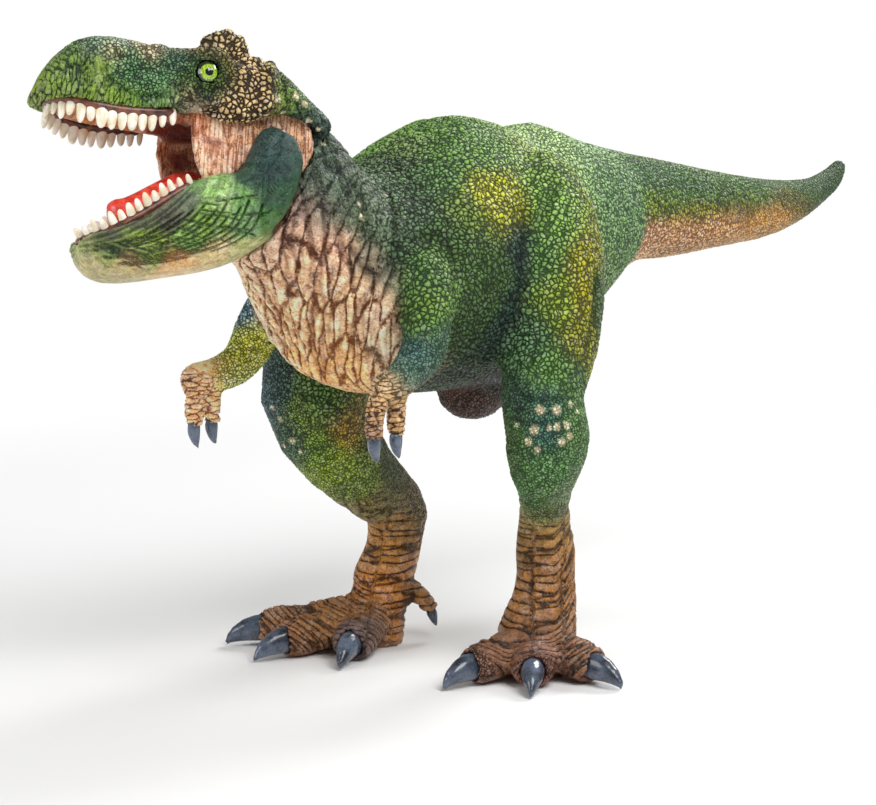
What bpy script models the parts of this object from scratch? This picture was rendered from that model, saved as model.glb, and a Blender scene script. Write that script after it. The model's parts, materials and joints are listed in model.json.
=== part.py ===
"""Toy theropod figure: a moulded body with glued-in limbs and a lower jaw that swings on a pin.

Metres, +Z up. The figure faces -Y, its left side is +X, and it stands on the plane Z = 0 with the
middle of its bounding box over the origin.
"""

from math import cos, pi, radians, sin

import bmesh
import bpy
import numpy as np
from mathutils import Matrix, Vector

MM = 0.001

# Trunk and tail
TRUNK_LENGTH = 111 * MM
BACK_HEIGHT = 116.5 * MM
TRUNK_HALF_WIDTH = 26.5 * MM
NECK_SWAY = 5 * MM
TAIL_LENGTH = 116.6 * MM
TAIL_HALF_WIDTH = 16 * MM
TAIL_SWAY = 6 * MM
VENT_RADIUS = 10 * MM

# Head, in a frame that starts at the jaw hinge
HEAD_YAW = radians(-27.3)
HEAD_PITCH = radians(-10.3)
HEAD_ROLL = radians(-14.6)
HEAD_LENGTH = 46 * MM
HEAD_HEIGHT = 18 * MM
HEAD_HALF_WIDTH = 15 * MM
BROW_RADIUS = 5 * MM
EYE_RADIUS = 2.7 * MM

# Mouth
JAW_LENGTH = 44 * MM
JAW_DEPTH = 19 * MM
JAW_HALF_WIDTH = 15.3 * MM
JAW_OPEN = radians(27)
JAW_SWING = radians(25)
JAW_SEAT_STEPS = 4
CHEEK_RADIUS = 17.8 * MM
CHEEK_HALF_WIDTH = 10.8 * MM
CHEEK_WALL = 1.6 * MM
CHEEK_DROP = radians(42)
CHEEK_RISE = radians(20)
THROAT_RADIUS = 8 * MM
PALATE_THICKNESS = 4 * MM
PALATE_VAULT = 2.5 * MM
TONGUE_HALF_WIDTH = 5 * MM
TONGUE_HEIGHT = 6 * MM
PIN_RADIUS = 1.5 * MM
PIN_HALF_LENGTH = 13.4 * MM
PIN_CLEARANCE = 0.1 * MM
EAR_ROOM_RADIUS = 4.8 * MM

# Teeth
ARCH_HALF_WIDTH = 9.2 * MM
TOOTH_LENGTH = 3.5 * MM
TOOTH_RADIUS = 0.95 * MM
STRIP_HALF_WIDTH = 1 * MM
STRIP_DEPTH = 1.6 * MM
TOOTH_GAP = 0.1 * MM
LOWER_TOOTH_GAP = 0.3 * MM
STRIP_STEPS = 15

# Legs and feet
LEG_HALF_WIDTH = 13.5 * MM
LEG_HALF_DEPTH = 19.5 * MM
TOE_REACH = 32 * MM
TOE_RADIUS = 5.2 * MM
CLAW_LENGTH = 9.5 * MM
CLAW_RADIUS = 3 * MM

# Arms and hands
ARM_REACH = 30 * MM
ARM_RADIUS = 6.5 * MM
FINGER_REACH = 12 * MM
FINGER_RADIUS = 2 * MM
HAND_CLAW_LENGTH = 5.5 * MM
HAND_CLAW_RADIUS = 1.6 * MM
HAND_CLAW_SEAT = 1 * MM

# Seams, pegs and cutters
SEAM = 0.3 * MM
PEG_RADIUS = 4 * MM
PEG_LENGTH = 7 * MM
ARM_PEG_RADIUS = 2.2 * MM
HEAD_PEG_RADIUS = 1.6 * MM
ARM_PEG_LENGTH = 5 * MM
OVERRUN = 6 * MM

LEFT = Vector((1, 0, 0))
BACK = Vector((0, 1, 0))
UP = Vector((0, 0, 1))

# How square the upper and lower halves of a ring are: 1 is round
HEAD_POWERS = (0.85, 0.4)
JAW_POWERS = (0.4, 0.8)
BOX_POWERS = (0.4, 0.4)

# Trunk: the back's line, the belly's line, half width and sway, from the neck to the tail joint
TRUNK_SHARES = (
    (-0.432, 1.056, -0.57, 0.8, 0.52, -1),
    (-0.347, 0.988, -0.48, 0.728, 0.6, -0.8),
    (-0.302, 0.925, -0.435, 0.662, 0.72, -0.5),
    (-0.22, 0.92, -0.39, 0.6, 0.86, -0.2),
    (-0.13, 0.962, -0.351, 0.545, 0.962, 0),
    (-0.027, 1.002, -0.234, 0.515, 1, 0),
    (0.072, 0.996, -0.054, 0.502, 0.981, 0),
    (0.158, 0.973, 0.072, 0.494, 0.887, 0),
    (0.252, 0.98, 0.165, 0.512, 0.811, 0),
    (0.351, 0.95, 0.295, 0.58, 0.736, 0),
    (0.468, 0.925, 0.445, 0.665, 0.604, 0),
)
TRUNK_WIDEST_SHARE = 0.45

# Tail: the same columns, from the tail joint to the tip, lengths from the joint backwards
TAIL_SHARES = (
    (0.108, 0.903, 0.078, 0.692, 0.844, 0.167),
    (0.194, 0.888, 0.198, 0.69, 0.719, 0.333),
    (0.374, 0.855, 0.378, 0.697, 0.575, 0.5),
    (0.563, 0.827, 0.566, 0.704, 0.45, 0.5),
    (0.725, 0.813, 0.733, 0.725, 0.325, 0.083),
    (0.85, 0.811, 0.858, 0.75, 0.24, -0.37),
    (0.935, 0.825, 0.948, 0.777, 0.18, -0.62),
    (0.99, 0.843, 1, 0.81, 0.11, -0.78),
)

# Where the jaw hinge and the left shoulder lie on the trunk, then the legs' stride, stance and height
HINGE_SHARES = (-1, -0.4955, 0.9622)
SHOULDER_SHARES = (0.7925, -0.2973, 0.7296)
STRIDE_SHARE = 0.883
STANCE_SHARE = 0.9434
HIP_SHARE = 0.8412

# Head: distance ahead of the hinge, top, underside, half width
HEAD_SHARES = (
    (1.005, 0.31, 0.15, 0.3),
    (0.967, 0.56, 0.12, 0.52),
    (0.89, 0.83, 0.11, 0.66),
    (0.78, 0.94, 0.07, 0.73),
    (0.65, 0.95, 0.06, 0.75),
    (0.54, 0.92, 0.1, 0.78),
    (0.43, 0.94, 0.12, 0.87),
    (0.3, 0.98, 0.05, 0.97),
    (0.19, 0.94, 0.06, 1),
    (0.09, 0.92, 0.18, 1),
    (0.03, 0.88, 0.22, 0.98),
    (-0.03, 0.78, 0.24, 0.93),
    (-0.11, 0.63, 0.2, 0.85),
    (-0.25, 0.42, 0.1, 0.7),
)

# Lower jaw, closed: distance ahead of the hinge, top, underside, half width
JAW_SHARES = (
    (0.988, -0.29, -0.45, 0.25),
    (0.962, -0.22, -0.62, 0.46),
    (0.89, -0.24, -0.75, 0.63),
    (0.76, -0.24, -0.84, 0.72),
    (0.61, -0.18, -0.91, 0.8),
    (0.46, -0.08, -0.98, 0.9),
    (0.35, -0.06, -1, 0.95),
    (0.26, -0.14, -0.98, 1),
    (0.2, -0.06, -0.95, 1.02),
    (0.13, 0.09, -0.9, 1.02),
    (0.07, 0.19, -0.8, 1),
    (0, 0.17, -0.62, 0.98),
    (-0.05, 0.02, -0.42, 0.95),
)

# Tooth rows: distance ahead of the hinge, distance to the side, gum height
ARCH_SHARES = (
    (0.45, 1.03, 0.13),
    (0.56, 1, 0.09),
    (0.68, 0.97, 0.06),
    (0.8, 0.91, 0.07),
    (0.88, 0.75, 0.12),
    (0.935, 0.42, 0.14),
    (0.955, 0, 0.15),
)
LOWER_ARCH_SHARES = (
    (0.43, 0.92, -0.1),
    (0.55, 0.87, -0.14),
    (0.68, 0.8, -0.2),
    (0.8, 0.72, -0.24),
    (0.88, 0.57, -0.26),
    (0.935, 0.32, -0.25),
    (0.95, 0, -0.24),
)

# Leg paths: side, back, height, half width, half depth, from the hip to the sole
LEFT_LEG_SHARES = (
    (0.6, 0.102, 1.1, 0.3, 0.26),
    (0.74, 0.095, 1.045, 0.55, 0.5),
    (0.87, 0.073, 0.945, 0.726, 0.641),
    (0.95, 0.049, 0.837, 0.79, 0.651),
    (1.02, 0.019, 0.728, 0.724, 0.615),
    (1.12, -0.034, 0.645, 0.672, 0.472),
    (1.19, -0.067, 0.594, 0.65, 0.431),
    (1.23, -0.058, 0.541, 0.665, 0.446),
    (1.21, -0.056, 0.5, 0.65, 0.446),
    (1.15, -0.043, 0.446, 0.541, 0.374),
    (1.05, -0.007, 0.398, 0.42, 0.292),
    (0.955, 0.024, 0.343, 0.39, 0.262),
    (0.905, 0.044, 0.296, 0.435, 0.295),
    (0.905, 0.046, 0.255, 0.47, 0.315),
    (0.925, 0.041, 0.194, 0.46, 0.31),
    (0.95, 0.027, 0.138, 0.52, 0.36),
    (0.968, 0, 0.092, 0.593, 0.436),
    (1, -0.02, 0.046, 0.63, 0.462),
    (1, -0.026, -0.02, 0.593, 0.436),
)
RIGHT_LEG_SHARES = (
    (-0.56, 0.24, 1.12, 0.2, 0.2),
    (-0.7, 0.235, 1.065, 0.5, 0.5),
    (-0.82, 0.204, 0.959, 0.815, 0.821),
    (-0.86, 0.122, 0.857, 0.963, 0.923),
    (-0.9, -0.035, 0.755, 0.963, 0.949),
    (-0.94, -0.148, 0.653, 0.889, 0.821),
    (-0.94, -0.17, 0.551, 0.815, 0.667),
    (-0.88, -0.122, 0.459, 0.704, 0.538),
    (-0.84, -0.051, 0.383, 0.578, 0.436),
    (-0.84, 0.031, 0.321, 0.504, 0.379),
    (-0.84, 0.077, 0.276, 0.489, 0.379),
    (-0.82, 0.057, 0.21, 0.444, 0.308),
    (-0.8, 0.035, 0.172, 0.459, 0.318),
    (-0.78, 0.007, 0.143, 0.489, 0.338),
    (-0.748, -0.015, 0.092, 0.474, 0.328),
    (-0.712, -0.041, 0.046, 0.474, 0.318),
    (-0.688, -0.046, -0.02, 0.444, 0.297),
)

# Toes of each foot: heading from straight ahead towards the left, and reach to the claw's tip
LEFT_TOE_SHARES = ((-8, 0.84), (35, 0.77), (83, 0.78))
RIGHT_TOE_SHARES = ((-43.5, 1.04), (-13.7, 1.01), (23.8, 0.86))
LEFT_SPUR_SHARES = (-112, 0.42)
RIGHT_SPUR_SHARES = (112, 0.42)

# Arm paths from the shoulder: outwards, forwards, up, then the thickness
LEFT_ARM_SHARES = (
    (-0.133, -0.133, 0.133, 0.923),
    (0, 0, 0, 1.015),
    (0.08, 0.12, -0.2, 0.92),
    (0.12, 0.2, -0.4, 0.8),
    (0.12, 0.34, -0.52, 0.65),
    (0.12, 0.5, -0.6, 0.51),
    (0.12, 0.6, -0.62, 0.54),
    (0.12, 0.67, -0.63, 0.37),
)
RIGHT_ARM_SHARES = (
    (-0.17, -0.3, 0.13, 0.9),
    (0, -0.12, -0.13, 1),
    (0.1, 0.05, -0.4, 0.88),
    (0.13, 0.16, -0.59, 0.74),
    (0.15, 0.31, -0.68, 0.65),
    (0.17, 0.5, -0.7, 0.52),
    (0.17, 0.63, -0.71, 0.54),
    (0.17, 0.72, -0.73, 0.37),
)

# Fingers: start along the hand, then how far the tip lies ahead of it
LEFT_FINGER_SHARES = ((1.02, 0.25), (0.87, 0.05))
RIGHT_FINGER_SHARES = ((1.0, 0.05), (0.84, 0))

# The roof of the mouth, in head heights, and places in the head's frame: across, ahead and up
ROOF_SHARE = 0.06
EYE_SHARES = (0.76, 0.35, 0.58)
BROW_SHARES = (0.62, 0.26, 0.88)
VAULT_SHARES = (0, 0.55, ROOF_SHARE)

# Radii of the brow, of the hollow in the palate and of the bulge between the legs
BROW_RADIUS_SHARES = (0.5, 1, 0.85)
VAULT_RADIUS_SHARES = (0.66, 0.36, 1)
VENT_RADIUS_SHARES = (0.75, 1, 0.75)
VENT_SHARES = (0, 0.075, 0.495)

# Palate and mouth floor: distance ahead of the hinge and half width
PALATE_SHARES = ((0.28, 0.93), (0.5, 0.86), (0.68, 0.82), (0.78, 0.76), (0.86, 0.6), (0.9, 0.4))
FLOOR_SHARES = ((0.2, 0.68), (0.45, 0.66), (0.62, 0.62), (0.74, 0.54), (0.8, 0.42), (0.83, 0.3))
FLOOR_TOP_SHARE = 0.1
FLOOR_SHARE = -0.36

# Tongue: distance ahead of the hinge, top above the mouth floor, half width
TONGUE_SHARES = (
    (0.25, 0.45, 0.62),
    (0.33, 0.85, 0.85),
    (0.45, 1, 1),
    (0.6, 0.9, 1),
    (0.7, 0.85, 0.85),
    (0.76, 0.9, 0.6),
    (0.79, 0.7, 0.3),
)

# Tooth: how far along it, then its thickness; how it bends; how the sizes vary along the row
TOOTH_SHARES = ((0, 0, 1), (0.55, 0.3, 0.85), (1, 0, 0.25))
TOOTH_BACK_SHARE = 0.25
TOOTH_ODD_SHARE = 0.12
TOOTH_SPLAY_SHARE = 0.08
TOOTH_SUNK_SHARE = 0.2
TOOTH_ROOT_SHARE = 0.35
LOWER_TOOTH_SHARE = 0.85

# Toe and spur: how far along, height and thickness, in toe radii
TOE_PATH_SHARES = (
    (0, 1.2, 1),
    (0.3, 1.15, 0.97),
    (0.55, 0.95, 0.9),
    (0.8, 0.85, 0.95),
    (1, 0.72, 0.8),
    (1.06, 0.68, 0.5),
)
TOE_CLAW_SHARE = 0.85
TOE_DEPTH_SHARE = 0.92
SPUR_PATH_SHARES = ((0.1, 0.15, 0.5), (0.5, -0.5, 0.42), (0.8, -1.25, 0.36), (0.88, -1.5, 0.24))

# Claws: how far along, how far the tip is bent over, and the thickness
CLAW_PATH_SHARES = (
    (0, 0, 0.95),
    (0.25, 0.02, 1),
    (0.5, -0.1, 0.86),
    (0.75, -0.38, 0.6),
    (0.92, -0.75, 0.33),
    (1, -1, 0.12),
)
CLAW_WIDTH_SHARE = 0.85
CLAW_ROOT_SHARE = 0.75
CLAW_DROP_SHARE = 0.64
SPUR_CLAW_SHARES = ((0, 0.4), (0.175, 0.44), (0.35, 0.3), (0.5, 0.1))
SPUR_CLAW_LEAN_SHARE = 0.35
HAND_CLAW_SHARES = ((0, 0, 0.9), (0.3, -0.1, 1), (0.7, 0.2, 0.65), (1, 0.7, 0.15))

# Finger: how far down, how much of its lean, and the thickness
FINGER_PATH_SHARES = ((0, 0, 1.05), (0.3, 0.75, 1), (0.6, 1, 0.95), (0.85, 0.9, 0.85))
ARM_WIDTH_SHARE = 0.85

# Pegs: where they start in their own piece and how far they go into the torso
HEAD_PEG_SHARES = ((0, 0.05, 0.64), (0, -0.26, 0.33))
LEG_PEG_START_SHARE = 0.45
LEG_PEG_END_SHARE = 0.85
ARM_PEG_REACH_SHARE = 1.5


def row(centre, side, up, down):
    """One station of a loft: its centre and the vectors to its side, top and bottom."""
    return np.array([*centre, *side, *up, *down], float)


def smoothed(rows, count):
    """Stations along a smooth curve through the given ones."""
    rows = np.array(rows)
    ends = [2 * rows[0] - rows[1], *rows, 2 * rows[-1] - rows[-2]]
    spans = len(rows) - 1
    found = []
    for place in np.linspace(0, spans, count):
        i = min(int(place), spans - 1)
        t = place - i
        a, b, c, d = ends[i : i + 4]
        found.append(
            b + 0.5 * t * (c - a + t * (2 * a - 5 * b + 4 * c - d + t * (3 * (b - c) + d - a)))
        )
    return found


def thicker(rows, grow):
    """The same stations with every half size longer by grow, and the ends moved out by grow."""
    found = []
    for i, station in enumerate(rows):
        parts = station.reshape(4, 3).copy()
        for vector in parts[1:]:
            vector *= 1 + grow / np.linalg.norm(vector)
        if i in (0, len(rows) - 1):
            inner = rows[1] if i == 0 else rows[-2]
            along = parts[0] - inner[:3]
            parts[0] += along * grow / np.linalg.norm(along)
        found.append(parts.reshape(12))
    return found


def ring_point(station, angle, powers):
    """A point of a ring; under 1, the powers square off its upper and its lower half."""
    centre, side, up, down = station.reshape(4, 3)
    across, rise = cos(angle), sin(angle)
    power = powers[0] if rise >= 0 else powers[1]
    across = np.sign(across) * abs(across) ** power
    rise = np.sign(rise) * abs(rise) ** power
    return centre + side * across + (up * rise if rise >= 0 else -down * rise)


def loft(name, rows, rings, sides, powers=(1, 1), grow=0.0):
    """A closed skin through smoothed stations, which run so that side x up points along them."""
    stations = smoothed(rows, rings)
    if grow:
        stations = thicker(stations, grow)
    points = []
    for station in stations:
        for k in range(sides):
            points.append(ring_point(station, 2 * pi * k / sides, powers))
    faces = [tuple(reversed(range(sides)))]
    for i in range(len(stations) - 1):
        for k in range(sides):
            a, b = i * sides + k, i * sides + (k + 1) % sides
            faces.append((a, b, b + sides, a + sides))
    last = (len(stations) - 1) * sides
    faces.append(tuple(range(last, last + sides)))
    mesh = bpy.data.meshes.new(name)
    mesh.from_pydata([tuple(p) for p in points], [], faces)
    outwards(mesh)
    return link(name, mesh)


def outwards(mesh):
    """Turn every face to look out."""
    shape = bmesh.new()
    shape.from_mesh(mesh)
    bmesh.ops.recalc_face_normals(shape, faces=shape.faces)
    shape.to_mesh(mesh)
    shape.free()


def link(name, mesh, place=None):
    piece = bpy.data.objects.new(name, mesh)
    bpy.context.scene.collection.objects.link(piece)
    if place is not None:
        piece.matrix_world = place
    return piece


def path_rows(points, lateral):
    """Stations square to a path, from (place, half width, half depth), level with lateral."""
    rows = []
    for i, (place, half_width, half_depth) in enumerate(points):
        before = points[max(i - 1, 0)][0]
        after = points[min(i + 1, len(points) - 1)][0]
        along = (after - before).normalized()
        side = (lateral - along * lateral.dot(along)).normalized()
        depth = along.cross(side)
        rows.append(row(place, side * half_width, depth * half_depth, -depth * half_depth))
    return rows


def primitive(name, make, place):
    shape = bmesh.new()
    make(shape)
    mesh = bpy.data.meshes.new(name)
    shape.to_mesh(mesh)
    shape.free()
    return link(name, mesh, place)


def rod(name, start, end, radius, sides=12):
    """A round bar from start to end."""
    axis = end - start
    turn = axis.to_track_quat("Z", "Y").to_matrix().to_4x4()

    def make(shape):
        bmesh.ops.create_cone(
            shape, cap_ends=True, segments=sides, radius1=radius, radius2=radius, depth=axis.length
        )

    return primitive(name, make, Matrix.Translation((start + end) / 2) @ turn)


def block(name, low, high):
    size = high - low

    def make(shape):
        bmesh.ops.create_cube(shape, size=1)

    place = Matrix.Translation((low + high) / 2) @ Matrix.Diagonal((*size, 1))
    return primitive(name, make, place)


def ball(name, place, radii, sides=12):
    def make(shape):
        bmesh.ops.create_uvsphere(shape, u_segments=sides, v_segments=sides // 2, radius=1)

    return primitive(name, make, place @ Matrix.Diagonal((*radii, 1)))


def combine(piece, others, operation, keep=False):
    """Apply one Boolean after another, and remove the shapes used."""
    for other in others:
        modifier = piece.modifiers.new(operation.lower(), "BOOLEAN")
        modifier.operation = operation
        modifier.object = other
        bpy.context.view_layer.update()
        graph = bpy.context.evaluated_depsgraph_get()
        mesh = bpy.data.meshes.new_from_object(piece.evaluated_get(graph))
        piece.modifiers.clear()
        piece.data = mesh
        if not keep:
            bpy.data.objects.remove(other)
    return piece


def cut(piece, *others):
    return combine(piece, others, "DIFFERENCE")


def fuse(piece, *others):
    return combine(piece, others, "UNION")


def settle(piece, place):
    """Give the piece the frame of place without moving it."""
    bpy.context.view_layer.update()
    piece.data.transform(place.inverted() @ piece.matrix_world)
    piece.matrix_world = place
    return piece


def finish(piece, colour, roughness):
    piece.data.materials.clear()
    material = bpy.data.materials.new(piece.name)
    material.use_nodes = True
    shader = material.node_tree.nodes["Principled BSDF"]
    shader.inputs["Base Color"].default_value = (*colour, 1)
    shader.inputs["Roughness"].default_value = roughness
    shader.inputs["Metallic"].default_value = 0
    piece.data.materials.append(material)
    piece.data.shade_smooth()
    piece.data.set_sharp_from_angle(angle=radians(40))
    return piece


def spine_rows(shares, start, length, half_width, most_sway):
    """Stations of the trunk or the tail, from the lines of its back and its underside."""
    rows = []
    for top_y, top_z, low_y, low_z, width, sway in shares:
        top = Vector((sway * most_sway, start + top_y * length, top_z * BACK_HEIGHT))
        low = Vector((sway * most_sway, start + low_y * length, low_z * BACK_HEIGHT))
        centre = low.lerp(top, TRUNK_WIDEST_SHARE)
        side = Vector((-width * half_width, 0, 0))
        rows.append(row(centre, side, top - centre, low - centre))
    return rows


def trunk_rows():
    return spine_rows(TRUNK_SHARES, 0, TRUNK_LENGTH, TRUNK_HALF_WIDTH, NECK_SWAY)


def trunk(name, grow=0.0):
    return loft(name, trunk_rows(), rings=21, sides=24, grow=grow)


def head_frame():
    """The hinge's frame: +X to the figure's left, -Y ahead, +Z up, turned as the head is."""
    turn = (
        Matrix.Rotation(HEAD_YAW, 4, "Z")
        @ Matrix.Rotation(HEAD_PITCH, 4, "X")
        @ Matrix.Rotation(HEAD_ROLL, 4, "Y")
    )
    return Matrix.Translation(scaled(HINGE_SHARES, (NECK_SWAY, TRUNK_LENGTH, BACK_HEIGHT))) @ turn


def jaw_frame(closed=0.0):
    """The head's frame with the jaw's swing added, so that jaw shapes are drawn closed."""
    return head_frame() @ Matrix.Rotation(JAW_OPEN - closed, 4, "X")


def profile_rows(shares, length, height, half_width):
    """Stations of the skull or the jaw, front last, in the hinge's frame."""
    rows = []
    for ahead, top, low, width in reversed(shares):
        middle = (top + low) / 2
        centre = Vector((0, -ahead * length, middle * height))
        rise = Vector((0, 0, (top - middle) * height))
        rows.append(row(centre, Vector((width * half_width, 0, 0)), rise, -rise))
    return rows


def in_frame(piece, place):
    piece.matrix_world = place
    return piece


def head_place(shares):
    across, ahead, up = shares
    return Vector((across * HEAD_HALF_WIDTH, -ahead * HEAD_LENGTH, up * HEAD_HEIGHT))


def scaled(shares, sizes):
    return Vector([share * size for share, size in zip(shares, sizes)])


def arch_line(shares, length, half_width, height):
    """One whole tooth row as many close points, and how far along it each one is."""
    half = [Vector((side * half_width, -ahead * length, rise * height)) for ahead, side, rise in shares]
    whole = half + [Vector((-p.x, p.y, p.z)) for p in reversed(half[:-1])]
    dense = [Vector(p) for p in smoothed([tuple(p) for p in whole], 12 * len(whole))]
    run = [0.0]
    for a, b in zip(dense, dense[1:]):
        run.append(run[-1] + (b - a).length)
    return dense, run


def arch_points(line, count, inset=0.0):
    """Points evenly along a tooth row, the end ones that share of a step inside it."""
    dense, run = line
    found = []
    for i in range(count):
        wanted = run[-1] * (i + inset) / (count - 1 + 2 * inset)
        k = next((j for j in range(1, len(run)) if run[j] >= wanted), len(run) - 1)
        found.append(dense[k - 1].lerp(dense[k], (wanted - run[k - 1]) / (run[k] - run[k - 1])))
    return found


def tooth(name, root, tip, radius):
    """A blunt cone from inside its strip to its tip, curved a little."""
    bend = (tip - root).cross(LEFT).normalized() * radius
    points = []
    for along, bent, size in TOOTH_SHARES:
        points.append((root.lerp(tip, along) + bend * bent, radius * size, radius * size))
    return loft(name, path_rows(points, BACK), rings=len(points), sides=5)


def tooth_row(name, line, direction, tooth_length, gap, place, grow=0.0):
    """A strip bent along the gum with its teeth; direction is -1 for teeth that point down.

    With grow it is the groove for the strip instead, which is open past the gum.
    """
    half_depth = STRIP_DEPTH if grow else STRIP_DEPTH / 2
    middle = Vector() if grow else -UP * direction * STRIP_DEPTH / 2
    gum = [(p + middle, half_depth, STRIP_HALF_WIDTH) for p in arch_points(line, STRIP_STEPS)]
    strip = loft(name, path_rows(gum, UP), rings=len(gum), sides=8, powers=BOX_POWERS, grow=grow)
    if not grow:
        count = int(line[1][-1] / (2 * TOOTH_RADIUS + gap))
        cones = []
        for i, spot in enumerate(arch_points(line, count, inset=0.5)):
            share = abs(2 * (i + 0.5) / count - 1)
            size = tooth_length * (1 - TOOTH_BACK_SHARE * share + TOOTH_ODD_SHARE * (i % 2))
            root = spot - UP * direction * STRIP_DEPTH * TOOTH_ROOT_SHARE
            splay = Vector((spot.x * TOOTH_SPLAY_SHARE, 0, 0))
            tip = spot + UP * direction * (size - STRIP_DEPTH * TOOTH_SUNK_SHARE) + splay
            cones.append(tooth(f"{name}_{i}", root, tip, TOOTH_RADIUS))
        fuse(strip, joined(cones))
    return in_frame(strip, place)


def joined(pieces):
    """Several closed shapes that do not touch, as one object."""
    shape = bmesh.new()
    for piece in pieces:
        piece.data.transform(piece.matrix_world)
        shape.from_mesh(piece.data)
    mesh = bpy.data.meshes.new("joined")
    shape.to_mesh(mesh)
    shape.free()
    for piece in pieces:
        bpy.data.objects.remove(piece)
    return link("joined", mesh)


def upper_teeth(name, grow=0.0):
    line = arch_line(ARCH_SHARES, HEAD_LENGTH, ARCH_HALF_WIDTH, HEAD_HEIGHT)
    return tooth_row(name, line, -1, TOOTH_LENGTH, TOOTH_GAP, head_frame(), grow)


def lower_teeth(name, grow=0.0):
    line = arch_line(LOWER_ARCH_SHARES, JAW_LENGTH, ARCH_HALF_WIDTH, JAW_DEPTH)
    size = TOOTH_LENGTH * LOWER_TOOTH_SHARE
    return tooth_row(name, line, 1, size, LOWER_TOOTH_GAP, jaw_frame(), grow)


def cheek_drum(name, grow=0.0, flats=20):
    """A sector about the hinge, from the cheeks' lower edge to the skull, as a fan of flat sides."""
    outer = CHEEK_RADIUS + grow
    wide = CHEEK_HALF_WIDTH + grow
    half, middle = (CHEEK_RISE + CHEEK_DROP) / 2, (CHEEK_RISE - CHEEK_DROP) / 2
    reach = half + grow / outer
    back = -grow / sin(half)
    profile = [(back * cos(middle), back * sin(middle))]
    profile += [(outer * cos(a), outer * sin(a)) for a in np.linspace(middle - reach, middle + reach, flats)]
    mesh = bpy.data.meshes.new(name)
    points = [(side, -ahead, rise) for side in (-wide, wide) for ahead, rise in profile]
    n = len(profile)
    faces = [tuple(range(n)), tuple(reversed(range(n, 2 * n)))]
    faces += [((k + 1) % n, k, k + n, (k + 1) % n + n) for k in range(n)]
    mesh.from_pydata(points, [], faces)
    outwards(mesh)
    return link(name, mesh, head_frame())


def slab(name, shares, length, half_width, low, high, place, grow=0.0):
    """A flat shape with square edges, as wide as its shares say."""
    middle, half = (low + high) / 2, (high - low) / 2
    rows = []
    for ahead, width in reversed(shares):
        side = Vector((width * half_width, 0, 0))
        centre = Vector((0, -ahead * length, middle))
        rows.append(row(centre, side, Vector((0, 0, half)), Vector((0, 0, -half))))
    return in_frame(loft(name, rows, rings=8, sides=12, powers=BOX_POWERS, grow=grow), place)


def palate(name, grow=0.0):
    low = ROOF_SHARE * HEAD_HEIGHT
    high = low + PALATE_THICKNESS
    return slab(name, PALATE_SHARES, HEAD_LENGTH, ARCH_HALF_WIDTH, low, high, head_frame(), grow)


def hinge_rod(name, radius, half_length, sides):
    """A round bar along the hinge's axis, its middle at the hinge."""
    place = head_frame()
    reach = place.to_3x3() @ LEFT * half_length
    return rod(name, place.translation - reach, place.translation + reach, radius, sides)


def throat(name, grow=0.0, overrun=0.0):
    half_length = CHEEK_HALF_WIDTH - CHEEK_WALL / 2 + grow + overrun
    return hinge_rod(name, THROAT_RADIUS + grow, half_length, sides=24)


def mouth_block(name, grow=0.0):
    """The palate, cheeks and throat before the mouth is hollowed out."""
    drum = cheek_drum(name, grow)
    return fuse(drum, palate(f"{name}_palate", grow), throat(f"{name}_throat", grow))


def mouth_hollow():
    """The room between the cheeks, in front of the throat and under the palate."""
    inner = CHEEK_HALF_WIDTH - CHEEK_WALL
    top = ROOF_SHARE * HEAD_HEIGHT - SEAM
    low = Vector((-inner, -CHEEK_RADIUS - OVERRUN, -CHEEK_RADIUS - OVERRUN))
    room = block("room", low, Vector((inner, 0, top)))
    room.matrix_world = head_frame() @ room.matrix_world
    room = settle(room, head_frame())
    return cut(room, throat("room_throat", overrun=OVERRUN))


def make_mouth_lining():
    lining = mouth_block("mouth_lining")
    middle = Matrix.Translation(head_place(VAULT_SHARES))
    radii = scaled(VAULT_RADIUS_SHARES, (ARCH_HALF_WIDTH, HEAD_LENGTH, PALATE_VAULT))
    vault = ball("vault", head_frame() @ middle, radii)
    cut(lining, mouth_hollow(), vault, pin_hole())
    return lining


def pin(name, grow=0.0):
    return hinge_rod(name, PIN_RADIUS + grow, PIN_HALF_LENGTH + grow, sides=16)


def pin_hole():
    return pin("pin_hole", PIN_CLEARANCE)


def eye(name, side, grow=0.0):
    radius = EYE_RADIUS + grow
    across, ahead, up = EYE_SHARES
    centre = Matrix.Translation(head_place((side * across, ahead, up)))
    return ball(name, head_frame() @ centre, (radius, radius, radius), sides=14)


def head_peg(name, grow=0.0):
    """The peg on the back of the skull that goes down into the neck."""
    start, end = [head_frame() @ head_place(shares) for shares in HEAD_PEG_SHARES]
    return peg(name, start, end, HEAD_PEG_RADIUS, grow)


def make_upper_head():
    rows = profile_rows(HEAD_SHARES, HEAD_LENGTH, HEAD_HEIGHT, HEAD_HALF_WIDTH)
    head = in_frame(loft("upper_head", rows, rings=20, sides=20, powers=HEAD_POWERS), head_frame())
    for side in (-1, 1):
        across, ahead, up = BROW_SHARES
        centre = Matrix.Translation(head_place((side * across, ahead, up)))
        fuse(head, ball("brow", head_frame() @ centre, BROW_RADIUS * Vector(BROW_RADIUS_SHARES)))
    cut(head, trunk("neck", SEAM), mouth_block("palate_seat", SEAM), upper_teeth("gum", SEAM))
    cut(head, eye("left_socket", 1, SEAM), eye("right_socket", -1, SEAM), ear_room())
    return fuse(head, head_peg("head_peg"))


def jaw_hollow():
    """Room in the jaw for the cheeks, the tongue and the lower teeth."""
    hollow = cheek_room("cheek_room")
    low, high = FLOOR_SHARE * JAW_DEPTH, FLOOR_TOP_SHARE * JAW_DEPTH
    floor = slab("floor", FLOOR_SHARES, JAW_LENGTH, ARCH_HALF_WIDTH, low, high, jaw_frame())
    return hollow, floor


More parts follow.
